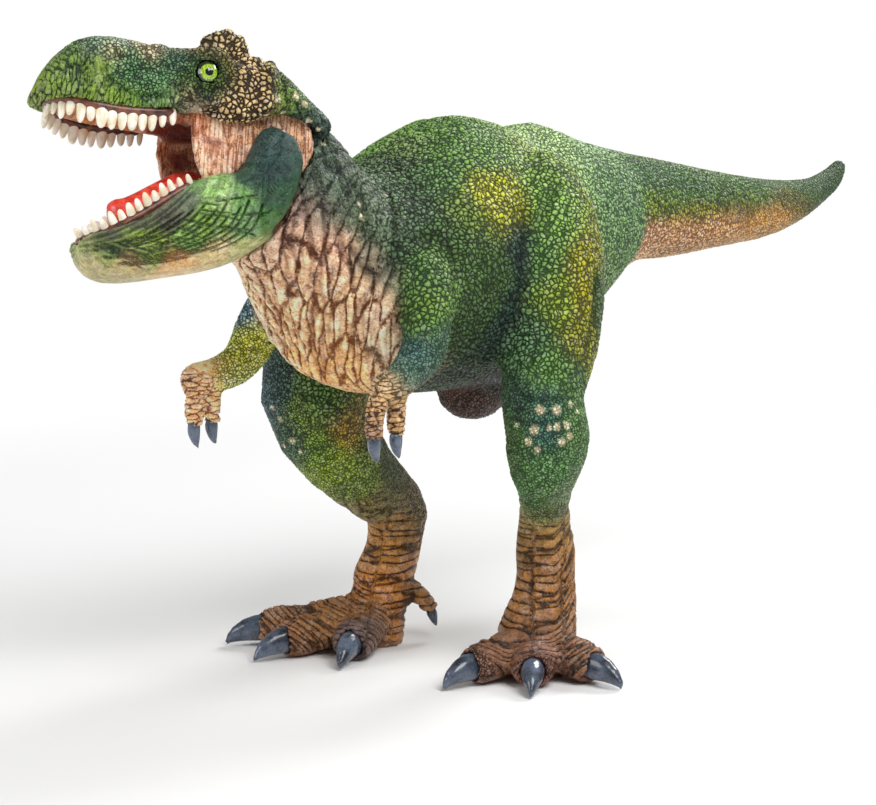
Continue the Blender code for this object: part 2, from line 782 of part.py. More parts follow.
def cheek_room(name):
    """The full circle that the cheeks sweep as the jaw turns."""
    return hinge_rod(name, CHEEK_RADIUS + SEAM, CHEEK_HALF_WIDTH + SEAM, sides=36)


def ear_room():
    """The round room in which the jaw's ears turn."""
    return hinge_rod("ear_room", EAR_ROOM_RADIUS, JAW_HALF_WIDTH + OVERRUN, sides=32)


def jaw_body(name, grow=0.0, closed=0.0):
    rows = profile_rows(JAW_SHARES, JAW_LENGTH, JAW_DEPTH, JAW_HALF_WIDTH)
    piece = loft(name, rows, rings=20, sides=20, powers=JAW_POWERS, grow=grow)
    return in_frame(piece, jaw_frame(closed))


def make_lower_jaw():
    jaw = jaw_body("lower_jaw")
    hollow, floor = jaw_hollow()
    fuse(hollow, pin_hole())
    return cut(jaw, hollow, floor, lower_teeth("gum", SEAM))


def make_tongue():
    floor = FLOOR_SHARE * JAW_DEPTH + SEAM
    rows = []
    for ahead, top, width in reversed(TONGUE_SHARES):
        half = top * TONGUE_HEIGHT / 2
        rise = Vector((0, 0, half))
        centre = Vector((0, -ahead * JAW_LENGTH, floor + half))
        rows.append(row(centre, Vector((width * TONGUE_HALF_WIDTH, 0, 0)), rise, -rise))
    return in_frame(loft("tongue", rows, rings=10, sides=10), jaw_frame())


def leg_points(shares):
    hip = scaled((STANCE_SHARE, STRIDE_SHARE, HIP_SHARE), (TRUNK_HALF_WIDTH, TRUNK_LENGTH, BACK_HEIGHT))
    return [
        (scaled((side, back, height), hip), width * LEG_HALF_WIDTH, depth * LEG_HALF_DEPTH)
        for side, back, height, width, depth in shares
    ]


def heading(angle):
    return Vector((sin(radians(angle)), -cos(radians(angle)), 0))


def toe(name, centre, angle, reach_share):
    along = heading(angle)
    reach = reach_share * TOE_REACH - TOE_CLAW_SHARE * CLAW_LENGTH
    base = Vector((centre.x, centre.y, 0))
    points = []
    for run, height, size in TOE_PATH_SHARES:
        place = base + along * run * reach + UP * height * TOE_RADIUS
        points.append((place, size * TOE_RADIUS, size * TOE_RADIUS * TOE_DEPTH_SHARE))
    return loft(name, path_rows(points, UP.cross(along)), rings=8, sides=10)


def spur_points(leg, spur):
    """The small toe on the inside of the foot: it leaves the leg above the sole."""
    angle, reach_share = spur
    along = heading(angle)
    start = leg[-4][0]
    reach = reach_share * TOE_REACH
    return [
        (start + along * run * reach + UP * height * TOE_RADIUS, size * TOE_RADIUS)
        for run, height, size in SPUR_PATH_SHARES
    ]


def claw(name, points, lateral, grow=0.0):
    rows = path_rows([(place, size * CLAW_WIDTH_SHARE, size) for place, size in points], lateral)
    return loft(name, rows, rings=6, sides=8, grow=grow)


def toe_claw_path(centre, angle, reach_share):
    """From the toe's end forwards, with the tip bent down."""
    along = heading(angle)
    reach = reach_share * TOE_REACH - CLAW_LENGTH
    root = Vector((centre.x, centre.y, CLAW_ROOT_SHARE * TOE_RADIUS)) + along * reach
    drop = CLAW_DROP_SHARE * TOE_RADIUS
    return [
        (root + along * run * CLAW_LENGTH + UP * fall * drop, size * CLAW_RADIUS)
        for run, fall, size in CLAW_PATH_SHARES
    ]


def foot_claws(side_name, leg, toes, spur):
    """Each claw of one foot: its name, its path and what lies level across it."""
    found = []
    for i, (angle, reach_share) in enumerate(toes):
        path = toe_claw_path(leg[-2][0], angle, reach_share)
        found.append((f"{side_name}_foot_claw_{i + 1}", path, UP.cross(heading(angle))))
    along = heading(spur[0])
    tip = spur_points(leg, spur)[-2][0]
    down = (along * SPUR_CLAW_LEAN_SHARE - UP).normalized()
    path = [(tip + down * run * CLAW_LENGTH, size * CLAW_RADIUS) for run, size in SPUR_CLAW_SHARES]
    found.append((f"{side_name}_foot_claw_4", path, UP.cross(along)))
    return found


def peg(name, start, end, radius, grow=0.0):
    stretch = (end - start).normalized() * grow
    return rod(name, start, end + stretch, radius + grow)


def leg_peg(name, leg, side, grow=0.0):
    place, half_width, _ = leg[3]
    start = place + LEFT * side * half_width * LEG_PEG_START_SHARE
    end = Vector((side * (TRUNK_HALF_WIDTH * LEG_PEG_END_SHARE - PEG_LENGTH), place.y, place.z))
    return peg(name, start, end, PEG_RADIUS, grow)


def ground():
    far = Vector((TAIL_LENGTH, TRUNK_LENGTH + TAIL_LENGTH, 0))
    return block("ground", Vector((-far.x, -far.y, -BACK_HEIGHT)), far)


def make_leg(name, leg, side, toes, spur):
    piece = loft(name, path_rows(leg, LEFT), rings=23, sides=16)
    centre = leg[-2][0]
    for i, (angle, reach) in enumerate(toes):
        fuse(piece, toe(f"toe_{i}", centre, angle, reach))
    lateral = UP.cross(heading(spur[0]))
    rows = path_rows([(p, r, r) for p, r in spur_points(leg, spur)], lateral)
    fuse(piece, loft("spur", rows, rings=5, sides=8))
    cut(piece, ground(), trunk("hip", SEAM))
    for claw_name, path, level in foot_claws(name, leg, toes, spur):
        cut(piece, claw("nail_bed", path, level, SEAM))
    return fuse(piece, leg_peg("leg_peg", leg, side))


def arm_points(shares, side):
    shoulder = scaled(SHOULDER_SHARES, (side * TRUNK_HALF_WIDTH, TRUNK_LENGTH, BACK_HEIGHT))
    return [
        (shoulder + Vector((side * out, -ahead, rise)) * ARM_REACH, thickness * ARM_RADIUS)
        for out, ahead, rise, thickness in shares
    ]


def finger_points(hand, shares):
    """The path of each finger from the hand down, and its claw's path below it."""
    found = []
    for share, lean in shares:
        start = Vector((hand.x, hand.y + (1 - share) * ARM_REACH, hand.z))
        points = []
        for run, ahead, size in FINGER_PATH_SHARES:
            drop = UP * -run * FINGER_REACH + Vector((0, -lean * ahead * FINGER_REACH, 0))
            points.append((start + drop, size * FINGER_RADIUS))
        found.append(points)
    return found


def hand_claw_path(finger):
    tip, _ = finger[-1]
    root = tip + UP * HAND_CLAW_SEAT
    return [
        (root - UP * run * HAND_CLAW_LENGTH + BACK * curl * HAND_CLAW_RADIUS, size * HAND_CLAW_RADIUS)
        for run, curl, size in HAND_CLAW_SHARES
    ]


def arm_peg(name, arm, side, grow=0.0):
    start, _ = arm[2]
    end = start - LEFT * side * (ARM_PEG_LENGTH + ARM_RADIUS * ARM_PEG_REACH_SHARE)
    return peg(name, start, end, ARM_PEG_RADIUS, grow)


def make_arm(name, arm, side, fingers):
    rows = path_rows([(p, r * ARM_WIDTH_SHARE, r) for p, r in arm], LEFT)
    piece = loft(name, rows, rings=14, sides=12)
    for points in fingers:
        fuse(piece, loft("finger", path_rows([(p, r, r) for p, r in points], LEFT), rings=5, sides=8))
    cut(piece, trunk("shoulder", SEAM))
    for points in fingers:
        cut(piece, claw("nail_bed", hand_claw_path(points), LEFT, SEAM))
    return fuse(piece, arm_peg("arm_peg", arm, side))


def tail_peg(name, grow=0.0):
    joint = trunk_rows()[-1][:3]
    return peg(name, Vector(joint) + BACK * PEG_LENGTH, Vector(joint) - BACK * PEG_LENGTH, PEG_RADIUS, grow)


def make_tail():
    joint = trunk_rows()[-1].copy()
    joint[1] += SEAM
    start = TRUNK_SHARES[-1][0] * TRUNK_LENGTH
    rows = [joint, *spine_rows(TAIL_SHARES, start, TAIL_LENGTH, TAIL_HALF_WIDTH, TAIL_SWAY)]
    return fuse(loft("tail", rows, rings=18, sides=24), tail_peg("tail_peg"))


def make_torso(legs, arms):
    torso = trunk("torso")
    place = Matrix.Translation(scaled(VENT_SHARES, (TRUNK_HALF_WIDTH, TRUNK_LENGTH, BACK_HEIGHT)))
    fuse(torso, ball("vent", place, VENT_RADIUS * Vector(VENT_RADIUS_SHARES)))
    cut(torso, tail_peg("tail_socket", SEAM), head_peg("head_socket", SEAM))
    for closed in np.linspace(0, JAW_SWING, JAW_SEAT_STEPS):
        cut(torso, jaw_body("jaw_seat", SEAM, closed))
    cut(torso, mouth_block("mouth_seat", SEAM), ear_room())
    for side in (1, -1):
        cut(torso, leg_peg("leg_socket", legs[side], side, SEAM))
        cut(torso, arm_peg("arm_socket", arms[side], side, SEAM))
    return torso


def clear_scene():
    for old in list(bpy.data.objects):
        bpy.data.objects.remove(old, do_unlink=True)


def centre_over_origin(pieces):
    """Move the whole figure so that the middle of its bounding box is over the origin."""
    bpy.context.view_layer.update()
    corners = [piece.matrix_world @ v.co for piece in pieces for v in piece.data.vertices]
    low = Vector([min(c[i] for c in corners) for i in range(3)])
    high = Vector([max(c[i] for c in corners) for i in range(3)])
    shift = Vector((-(low.x + high.x) / 2, -(low.y + high.y) / 2, -low.z))
    for piece in pieces:
        piece.matrix_world = Matrix.Translation(shift) @ piece.matrix_world


def build_figure():
    clear_scene()
    green, brown, claw_grey = (0.09, 0.2, 0.05), (0.25, 0.15, 0.07), (0.12, 0.14, 0.18)
    pink, ivory = (0.5, 0.24, 0.15), (0.8, 0.76, 0.62)
    legs = {1: leg_points(LEFT_LEG_SHARES), -1: leg_points(RIGHT_LEG_SHARES)}
    arms = {1: arm_points(LEFT_ARM_SHARES, 1), -1: arm_points(RIGHT_ARM_SHARES, -1)}
    toes = {1: (LEFT_TOE_SHARES, LEFT_SPUR_SHARES), -1: (RIGHT_TOE_SHARES, RIGHT_SPUR_SHARES)}
    finger_shares = {1: LEFT_FINGER_SHARES, -1: RIGHT_FINGER_SHARES}
    pieces = [
        finish(make_torso(legs, arms), green, 0.55),
        finish(make_tail(), green, 0.55),
        finish(make_upper_head(), green, 0.5),
        finish(make_mouth_lining(), pink, 0.45),
        finish(settle(make_lower_jaw(), head_frame()), green, 0.5),
        finish(settle(make_tongue(), head_frame()), (0.5, 0.05, 0.05), 0.25),
        finish(upper_teeth("upper_teeth"), ivory, 0.3),
        finish(settle(lower_teeth("lower_teeth"), head_frame()), ivory, 0.3),
        finish(settle(pin("jaw_pin"), head_frame()), (0.6, 0.6, 0.62), 0.3),
    ]
    for side, word in ((1, "left"), (-1, "right")):
        pieces.append(finish(eye(f"{word}_eye", side), (0.45, 0.5, 0.05), 0.15))
        pieces.append(finish(make_leg(f"{word}_leg", legs[side], side, *toes[side]), brown, 0.55))
        for name, path, level in foot_claws(word, legs[side], *toes[side]):
            pieces.append(finish(claw(name, path, level), claw_grey, 0.25))
        hand = arms[side][-2][0]
        fingers = finger_points(hand, finger_shares[side])
        pieces.append(finish(make_arm(f"{word}_arm", arms[side], side, fingers), green, 0.55))
        for i, points in enumerate(fingers):
            name = f"{word}_hand_claw_{i + 1}"
            pieces.append(finish(claw(name, hand_claw_path(points), LEFT), claw_grey, 0.25))
    centre_over_origin(pieces)
    place = next(p for p in pieces if p.name == "lower_jaw").matrix_world
    print("jaw hinge at", [round(v, 5) for v in place.translation], "along", list(place.col[0]))


build_figure()
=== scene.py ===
import json
import math

import bmesh
import bpy
import numpy as np
from mathutils import Matrix, Vector
from mathutils.bvhtree import BVHTree
from mathutils.kdtree import KDTree


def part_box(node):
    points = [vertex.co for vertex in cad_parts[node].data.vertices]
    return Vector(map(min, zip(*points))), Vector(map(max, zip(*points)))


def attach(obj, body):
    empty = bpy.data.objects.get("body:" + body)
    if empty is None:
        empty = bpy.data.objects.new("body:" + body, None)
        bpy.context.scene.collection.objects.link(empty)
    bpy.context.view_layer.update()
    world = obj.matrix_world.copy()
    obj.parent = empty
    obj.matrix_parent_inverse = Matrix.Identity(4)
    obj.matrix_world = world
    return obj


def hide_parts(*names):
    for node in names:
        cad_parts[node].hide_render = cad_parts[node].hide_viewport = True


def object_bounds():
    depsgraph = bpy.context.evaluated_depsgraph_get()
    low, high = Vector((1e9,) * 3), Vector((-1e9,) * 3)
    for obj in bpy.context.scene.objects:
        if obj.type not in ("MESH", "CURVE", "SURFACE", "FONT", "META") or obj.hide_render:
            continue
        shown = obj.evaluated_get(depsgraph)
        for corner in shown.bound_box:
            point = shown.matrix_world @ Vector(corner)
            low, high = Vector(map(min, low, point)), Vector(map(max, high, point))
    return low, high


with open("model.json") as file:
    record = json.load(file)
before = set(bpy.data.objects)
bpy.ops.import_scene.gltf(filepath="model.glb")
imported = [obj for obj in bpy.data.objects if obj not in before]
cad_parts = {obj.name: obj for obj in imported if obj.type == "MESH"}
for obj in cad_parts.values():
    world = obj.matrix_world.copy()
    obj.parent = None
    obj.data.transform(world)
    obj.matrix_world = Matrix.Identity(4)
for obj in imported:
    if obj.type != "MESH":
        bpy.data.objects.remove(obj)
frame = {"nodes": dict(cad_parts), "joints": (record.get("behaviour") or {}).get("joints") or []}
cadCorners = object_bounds()
mm = 0.001

# the photo's camera; px and py below are pixels of the photo
photoView = {
    "azimuth": 39.0,
    "elevation": 9.0,
    "distance": 0.60,
    "lens": 117.37,
    "aim": (0.004458, -0.05133, 0.05776),
    "width": 876,
    "height": 805,
    "sensor": 36.0,
}
azimuth = math.radians(photoView["azimuth"])
elevation = math.radians(photoView["elevation"])
backward = Vector((
    math.sin(azimuth) * math.cos(elevation),
    -math.cos(azimuth) * math.cos(elevation),
    math.sin(elevation),
))
rightward = Vector((math.cos(azimuth), math.sin(azimuth), 0.0))
upward = backward.cross(rightward)
cameraPlace = Vector(photoView["aim"]) + backward * photoView["distance"]
focalPixels = photoView["lens"] / photoView["sensor"] * photoView["width"]


def photoRay(px, py):
    across = (px - photoView["width"] / 2) / focalPixels
    above = (photoView["height"] / 2 - py) / focalPixels
    return (rightward * across + upward * above - backward).normalized()


# planes that halve the figure: the trunk's, and the turned head's
trunkMiddle = (Vector((-4.5 * mm, 0, 0)), Vector((1, 0, 0)))
headMiddle = (Vector((-9.52, -91.11, 112.1)) * mm, Vector((0.8805944, -0.403789, 0.2480074)))


def mirrored(point, plane):
    middle, across = plane
    return point - 2 * across * (point - middle).dot(across)


def linear(code):
    shades = [int(code[i:i + 2], 16) / 255 for i in (0, 2, 4)]
    return [s / 12.92 if s <= 0.04045 else ((s + 0.055) / 1.055) ** 2.4 for s in shades]


def opaque(code):
    return (*linear(code), 1)


# meshes as arrays

def gathered(items, field, width=1, kind=np.float32):
    flat = np.empty(len(items) * width, kind)
    items.foreach_get(field, flat)
    return flat.reshape(-1, width) if width > 1 else flat


def getPoints(mesh):
    return gathered(mesh.vertices, "co", 3).astype(float)


def setPoints(mesh, points):
    mesh.vertices.foreach_set("co", points.astype(np.float32).ravel())
    mesh.update()


def getNormals(mesh):
    return gathered(mesh.vertex_normals, "vector", 3).astype(float)


def getEdges(mesh):
    return gathered(mesh.edges, "vertices", 2, np.int32).T


def shadeSmooth(mesh):
    mesh.polygons.foreach_set("use_smooth", np.ones(len(mesh.polygons), bool))


def smoothed(values, edges, rounds, share=0.5, weights=None):
    a, b = edges
    size = len(values)
    count = np.maximum(np.bincount(a, minlength=size) + np.bincount(b, minlength=size), 1)
    values = values.copy()
    for _ in range(rounds):
        for k in range(values.shape[1]):
            column = values[:, k]
            total = np.bincount(a, column[b], size) + np.bincount(b, column[a], size)
            step = share * (total / count - column)
            values[:, k] = column + (step if weights is None else step * weights)
    return values


# what the skins carry for relief and paint; the others are vectors
skinAttributes = ("paintHigh", "paintLow", "grain", "foldPlace", "groove", "restPlace")
attributeKinds = {"paintHigh": "FLOAT_COLOR", "paintLow": "FLOAT_COLOR", "groove": "FLOAT"}
attributeFields = {"FLOAT": ("value", 1), "FLOAT_VECTOR": ("vector", 3), "FLOAT_COLOR": ("color", 4)}


def putAttributes(mesh, **named):
    for name, values in named.items():
        kind = attributeKinds.get(name, "FLOAT_VECTOR")
        made = mesh.attributes.get(name) or mesh.attributes.new(name, kind, "POINT")
        if kind == "FLOAT_COLOR":
            values = np.hstack([values, np.ones((len(values), 1))])
        made.data.foreach_set(attributeFields[kind][0], np.ascontiguousarray(values, np.float32).ravel())


def readAttribute(mesh, name):
    made = mesh.attributes[name]
    field, width = attributeFields[made.data_type]
    return gathered(made.data, field, width).reshape(-1, width)[:, :3].astype(float)


def meshFrom(form, name):
    mesh = bpy.data.meshes.new(name)
    form.to_mesh(mesh)
    form.free()
    return mesh


def inScene(name, data):
    thing = bpy.data.objects.new(name, data)
    bpy.context.scene.collection.objects.link(thing)
    return thing


def evaluated(thing):
    graph = bpy.context.evaluated_depsgraph_get()
    made = bpy.data.meshes.new_from_object(thing.evaluated_get(graph))
    bpy.data.objects.remove(thing)
    return made


def nodeForm(names, grow):
    form = bmesh.new()
    for name in names:
        single = bmesh.new()
        single.from_mesh(frame["nodes"][name].data)
        bmesh.ops.remove_doubles(single, verts=single.verts, dist=1e-6)
        single.normal_update()
        for vertex in single.verts:
            vertex.co += vertex.normal * grow
        mesh = meshFrom(single, name + "Copy")
        form.from_mesh(mesh)
        bpy.data.meshes.remove(mesh)
    return meshFrom(form, "form")


def throughModifier(mesh, kind, values):
    thing = inScene("work", mesh)
    modifier = thing.modifiers.new(kind, kind)
    for key, value in values.items():
        setattr(modifier, key, value)
    return evaluated(thing)


def subdivided(mesh):
    return throughModifier(mesh, "SUBSURF", {"levels": 1, "render_levels": 1})


def biggestShell(mesh):
    # the voxels can leave small closed pockets inside, which aren't wanted
    a, b = getEdges(mesh)
    labels = np.arange(len(mesh.vertices))
    while True:
        least = np.minimum(labels[a], labels[b])
        fresh = labels.copy()
        np.minimum.at(fresh, a, least)
        np.minimum.at(fresh, b, least)
        fresh = fresh[fresh]
        if (fresh == labels).all():
            break
        labels = fresh
    names, sizes = np.unique(labels, return_counts=True)
    keep = names[sizes.argmax()]
    form = bmesh.new()
    form.from_mesh(mesh)
    form.verts.ensure_lookup_table()
    bmesh.ops.delete(form, geom=[form.verts[i] for i in np.flatnonzero(labels != keep)], context="VERTS")
    form.to_mesh(mesh)
    form.free()
    return mesh


# in and out again, so that the form doesn't shrink
smoothShares = (0.55, -0.57)


def voxelSkin(names, voxel, grow, rounds):
    mesh = nodeForm(names, grow)
    mesh = biggestShell(throughModifier(mesh, "REMESH", {"mode": "VOXEL", "voxel_size": voxel}))
    points, edges = getPoints(mesh), getEdges(mesh)
    for _ in range(rounds):
        for share in smoothShares:
            points = smoothed(points, edges, 1, share)
    setPoints(mesh, points)
    setPoints(mesh, getPoints(mesh) - getNormals(mesh) * grow)
    return mesh


def surfaceOf(mesh):
    return BVHTree.FromPolygons([v.co for v in mesh.vertices], [p.vertices for p in mesh.polygons])


def nearTree(points):
    tree = KDTree(len(points))
    for i, place in enumerate(points):
        tree.insert(place, i)
    tree.balance()
    return tree


# paint spots, by their relief: h heavy scales, s scales, p pebbles, f folds, n none, and two letters
# for half of each; a spot has a pixel of the photo, then the light and the dark paint there
# the light paint lies on the tops of the scales and the dark paint in their gaps: the light partly painted
# highlight, the dark partly the figure's dark wash and partly painted shade
grains = {
    "h": (1.3, 0, 0), "s": (1, 0, 0), "p": (0, 1, 0), "f": (0, 0, 1), "n": (0, 0, 0),
    "sf": (0.5, 0, 0.5), "pf": (0, 0.5, 0.5),
}
# how gently a spot's paint runs into the next one's
blendForm = {"soft": 0.15, "power": 3, "smallReach": 3 * mm}
# a stroke's reach as a share of its width, how deep it starts, and over how many steps it deepens
strokeForm = {"reach": 1.6, "start": 0.25, "steps": 6}


def spotPlaces(surface, spots, plane=None):
    places, lights, darks, reliefs = [], [], [], []
    for px, py, light, dark, kind in ((*spot, kind) for kind, rows in spots.items() for spot in rows):
        place = surface.ray_cast(cameraPlace, photoRay(px, py))[0]
        if place is None:
            print("spot misses", px, py)
            continue
        for one in [place] + ([mirrored(place, plane)] if plane else []):
            places.append(one)
            lights.append(linear(light))
            darks.append(linear(dark))
            reliefs.append(grains[kind])
    return np.array(places), np.array(lights), np.array(darks), np.array(reliefs, float)


def spotBlend(points, places, colours, reach):
    total = np.zeros((len(points), 3))
    weightSum = np.zeros(len(points))
    for place, colour in zip(places, colours):
        far = ((points - place) ** 2).sum(1) / reach ** 2
        weight = 1 / (blendForm["soft"] + far) ** blendForm["power"]
        total += weight[:, None] * colour
        weightSum += weight
    return total / weightSum[:, None]


def paintBySpots(mesh, spots, grainShare=1.0):
    points = getPoints(mesh)
    places, lights, darks, reliefs = spotPlaces(surfaceOf(mesh), spots, headMiddle)
    for label, values in (("paintHigh", lights), ("paintLow", darks), ("grain", reliefs * grainShare)):
        putAttributes(mesh, **{label: spotBlend(points, places, values, blendForm["smallReach"])})


def curveThrough(corners, step):
    ends = [np.array(c, float) for c in corners]
    ends = [2 * ends[0] - ends[1], *ends, 2 * ends[-1] - ends[-2]]
    line = []
    for before, here, there, after in zip(ends, ends[1:], ends[2:], ends[3:]):
        count = max(2, int(np.linalg.norm(there - here) / step))
        for t in np.arange(count) / count:
            line.append(0.5 * (
                2 * here + (there - before) * t
                + (2 * before - 5 * here + 4 * there - after) * t * t
                + (3 * here - before - 3 * there + after) * t ** 3
            ))
    line.append(ends[-2])
    return line


def strokeMarks(points, tree, surface, strokes, step=1.5, plane=None):
    # how deep or high each point lies by the strokes, the strongest where they cross
    marks = np.zeros(len(points))
    for width, depth, *lines in strokes:
        reach = width * mm * strokeForm["reach"]
        for line in (curveThrough(corners, step) for corners in lines):
            for i, (px, py) in enumerate(line):
                place = surface.ray_cast(cameraPlace, photoRay(px, py))[0]
                if place is None:
                    continue
                fromEnds = (i, len(line) - 1 - i)
                ease = min(1.0, *(strokeForm["start"] + k / strokeForm["steps"] for k in fromEnds))
                both = [place] + ([surface.find_nearest(mirrored(place, plane))[0]] if plane else [])
                for one in both:
                    for _, index, far in tree.find_range(one, reach):
                        rise = depth * ease * (1 - (far / reach) ** 2) ** 3
                        if abs(rise) > abs(marks[index]):
                            marks[index] = rise
    return marks


# node trees

class Wire:
    def __init__(self, net, socket):
        self.net, self.socket = net, socket

    def maths(self, operation, *others):
        values = dict(enumerate((self, *others)))
        return self.net.add("ShaderNodeMath", {"operation": operation}, values)

    def __add__(self, other):
        return self.maths("ADD", other)

    def __sub__(self, other):
        return self.maths("SUBTRACT", other)

    def __mul__(self, other):
        return self.maths("MULTIPLY", other)

    def __truediv__(self, other):
        return self.maths("DIVIDE", other)

    def __rsub__(self, other):
        return (self * -1) + other

    __radd__ = __add__
    __rmul__ = __mul__

    def clamped(self):
        return self.maths("MAXIMUM", 0.0).maths("MINIMUM", 1.0)

    def between(self, low, high, start=0.0, end=1.0):
        return self.net.add(
            "ShaderNodeMapRange", {"interpolation_type": "SMOOTHSTEP"},
            {"Value": self, "From Min": low, "From Max": high, "To Min": start, "To Max": end},
        )


class Net:
    def __init__(self, tree):
        self.tree = tree

    def add(self, kind, settings, values, output=0):
        node = self.tree.nodes.new(kind)
        for key, value in settings.items():
            setattr(node, key, value)
        for key, value in values.items():
            if isinstance(value, Wire):
                self.tree.links.new(value.socket, node.inputs[key])
            else:
                node.inputs[key].default_value = value
        return Wire(self, node.outputs[output] if node.outputs else None)

    def mixed(self, factor, first, second, blend="MIX"):
        settings = {"data_type": "RGBA", "blend_type": blend}
        return self.add("ShaderNodeMix", settings, {0: factor, 6: first, 7: second}, 2)

    def vector(self, operation, values, output=0):
        return self.add("ShaderNodeVectorMath", {"operation": operation}, values, output)

    def parts(self, vector):
        split = self.add("ShaderNodeSeparateXYZ", {}, {0: vector})
        return [Wire(self, output) for output in split.socket.node.outputs]

    def named(self, label):
        return self.add("GeometryNodeInputNamedAttribute", {"data_type": "FLOAT_VECTOR"}, {"Name": label})

    def attribute(self, label, output):
        return self.add("ShaderNodeAttribute", {"attribute_name": label}, {}, output)

    def ownPlace(self):
        return self.add("ShaderNodeTexCoord", {}, {}, "Object")

    def bump(self, strength, distance, height):
        return self.add("ShaderNodeBump", {}, {"Strength": strength, "Distance": distance, "Height": height})

    def shifted(self, colour, saturation, value):
        values = {"Saturation": saturation, "Value": value, "Color": colour}
        return self.add("ShaderNodeHueSaturation", {}, values)

    def cells(self, place, size, randomness, gap):
        # rounded cells with a narrow dark gap: 0 in the gap, 1 on top
        settings = {"feature": "DISTANCE_TO_EDGE"}
        values = {"Vector": place, "Scale": 1 / size, "Randomness": randomness}
        return self.add("ShaderNodeTexVoronoi", settings, values, "Distance").between(0.0, gap)

    def domed(self, rise):
        return rise * (1.6 - rise * 0.6)

    def cellShade(self, place, size):
        values = {"Vector": place, "Scale": 1 / size, "Randomness": 0.9}
        shade = self.add("ShaderNodeTexVoronoi", {}, values, "Color")
        return self.add("ShaderNodeSeparateColor", {}, {0: shade})

    def noise(self, place, size, detail=3.0, output="Fac"):
        values = {"Vector": place, "Scale": 1 / size, "Detail": detail}
        return self.add("ShaderNodeTexNoise", {}, values, output)


reliefForm = {
    "scale": 1.05 * mm, "scaleGap": 0.3, "pebble": 0.7 * mm, "pebbleGap": 0.32,
    "fold": 1.0, "foldGap": 0.16, "swirl": 4.0 * mm, "drift": 0.9 * mm, "wobble": 6.0 * mm, "sway": 0.5,
}


def skinRelief(net, restPlace, foldPlace):
    # the three kinds of relief, each 0 in its gaps and 1 on top
    form = reliefForm

    def bent(place, size, detail, amount):
        swirl = net.noise(restPlace, size, detail, "Color")
        return net.vector("ADD", {0: place, 1: net.vector("SCALE", {0: swirl, "Scale": amount})})

    bentPlace = bent(restPlace, form["swirl"], 1.0, form["drift"])
    scales = net.domed(net.cells(bentPlace, form["scale"], 0.9, form["scaleGap"]))
    pebbles = net.domed(net.cells(bentPlace, form["pebble"], 1.0, form["pebbleGap"]))
    foldBent = bent(foldPlace, form["wobble"], 2.0, form["sway"])
    return scales, pebbles, net.cells(foldBent, form["fold"], 0.8, form["foldGap"])


def newTree(name, labels):
    tree = bpy.data.node_groups.new(name, "GeometryNodeTree")
    sockets = [("Geometry", "Geometry", "INPUT"), *((label, "Float", "INPUT") for label in labels)]
    for label, kind, way in (*sockets, ("Geometry", "Geometry", "OUTPUT")):
        tree.interface.new_socket(label, in_out=way, socket_type="NodeSocket" + kind)
    net = Net(tree)
    given = tree.nodes.new("NodeGroupInput")
    return net, {label: Wire(net, given.outputs[label]) for label in ("Geometry", *labels)}


def endTree(net, geometry, material):
    real = net.add("GeometryNodeRealizeInstances", {}, {"Geometry": geometry})
    done = net.add("GeometryNodeSetMaterial", {}, {"Geometry": real, "Material": material})
    finish = net.tree.nodes.new("NodeGroupOutput")
    net.tree.links.new(done.socket, finish.inputs["Geometry"])
    return net.tree


def scalySkinTree(name, heights, material):
    net, given = newTree(name, heights)
    masks = net.parts(net.named("grain"))
    reliefs = skinRelief(net, net.named("restPlace"), net.named("foldPlace"))
    rise = sum(
        ((relief - 0.6) * mask * given[label] for relief, mask, label in zip(reliefs, masks, heights)),
        0.0,
    )
    normal = net.add("GeometryNodeInputNormal", {}, {})
    offset = net.vector("SCALE", {0: normal, "Scale": rise})
    moved = net.add("GeometryNodeSetPosition", {}, {"Geometry": given["Geometry"], "Offset": offset})
    return endTree(net, moved, material)


def throughTree(mesh, tree, values):
    thing = inScene("work", mesh)
    modifier = thing.modifiers.new("Relief", "NODES")
    modifier.node_group = tree
    for item in tree.interface.items_tree:
        if item.in_out == "INPUT" and item.name in values:
            modifier[item.identifier] = values[item.name]
    return evaluated(thing)


def newMaterial(name):
    material = bpy.data.materials.new(name)
    material.use_nodes = True
    material.node_tree.nodes.clear()
    return material, Net(material.node_tree)


def surfaceShader(net, values):
    shader = net.add("ShaderNodeBsdfPrincipled", {}, values)
    net.add("ShaderNodeOutputMaterial", {}, {"Surface": shader})
    return shader


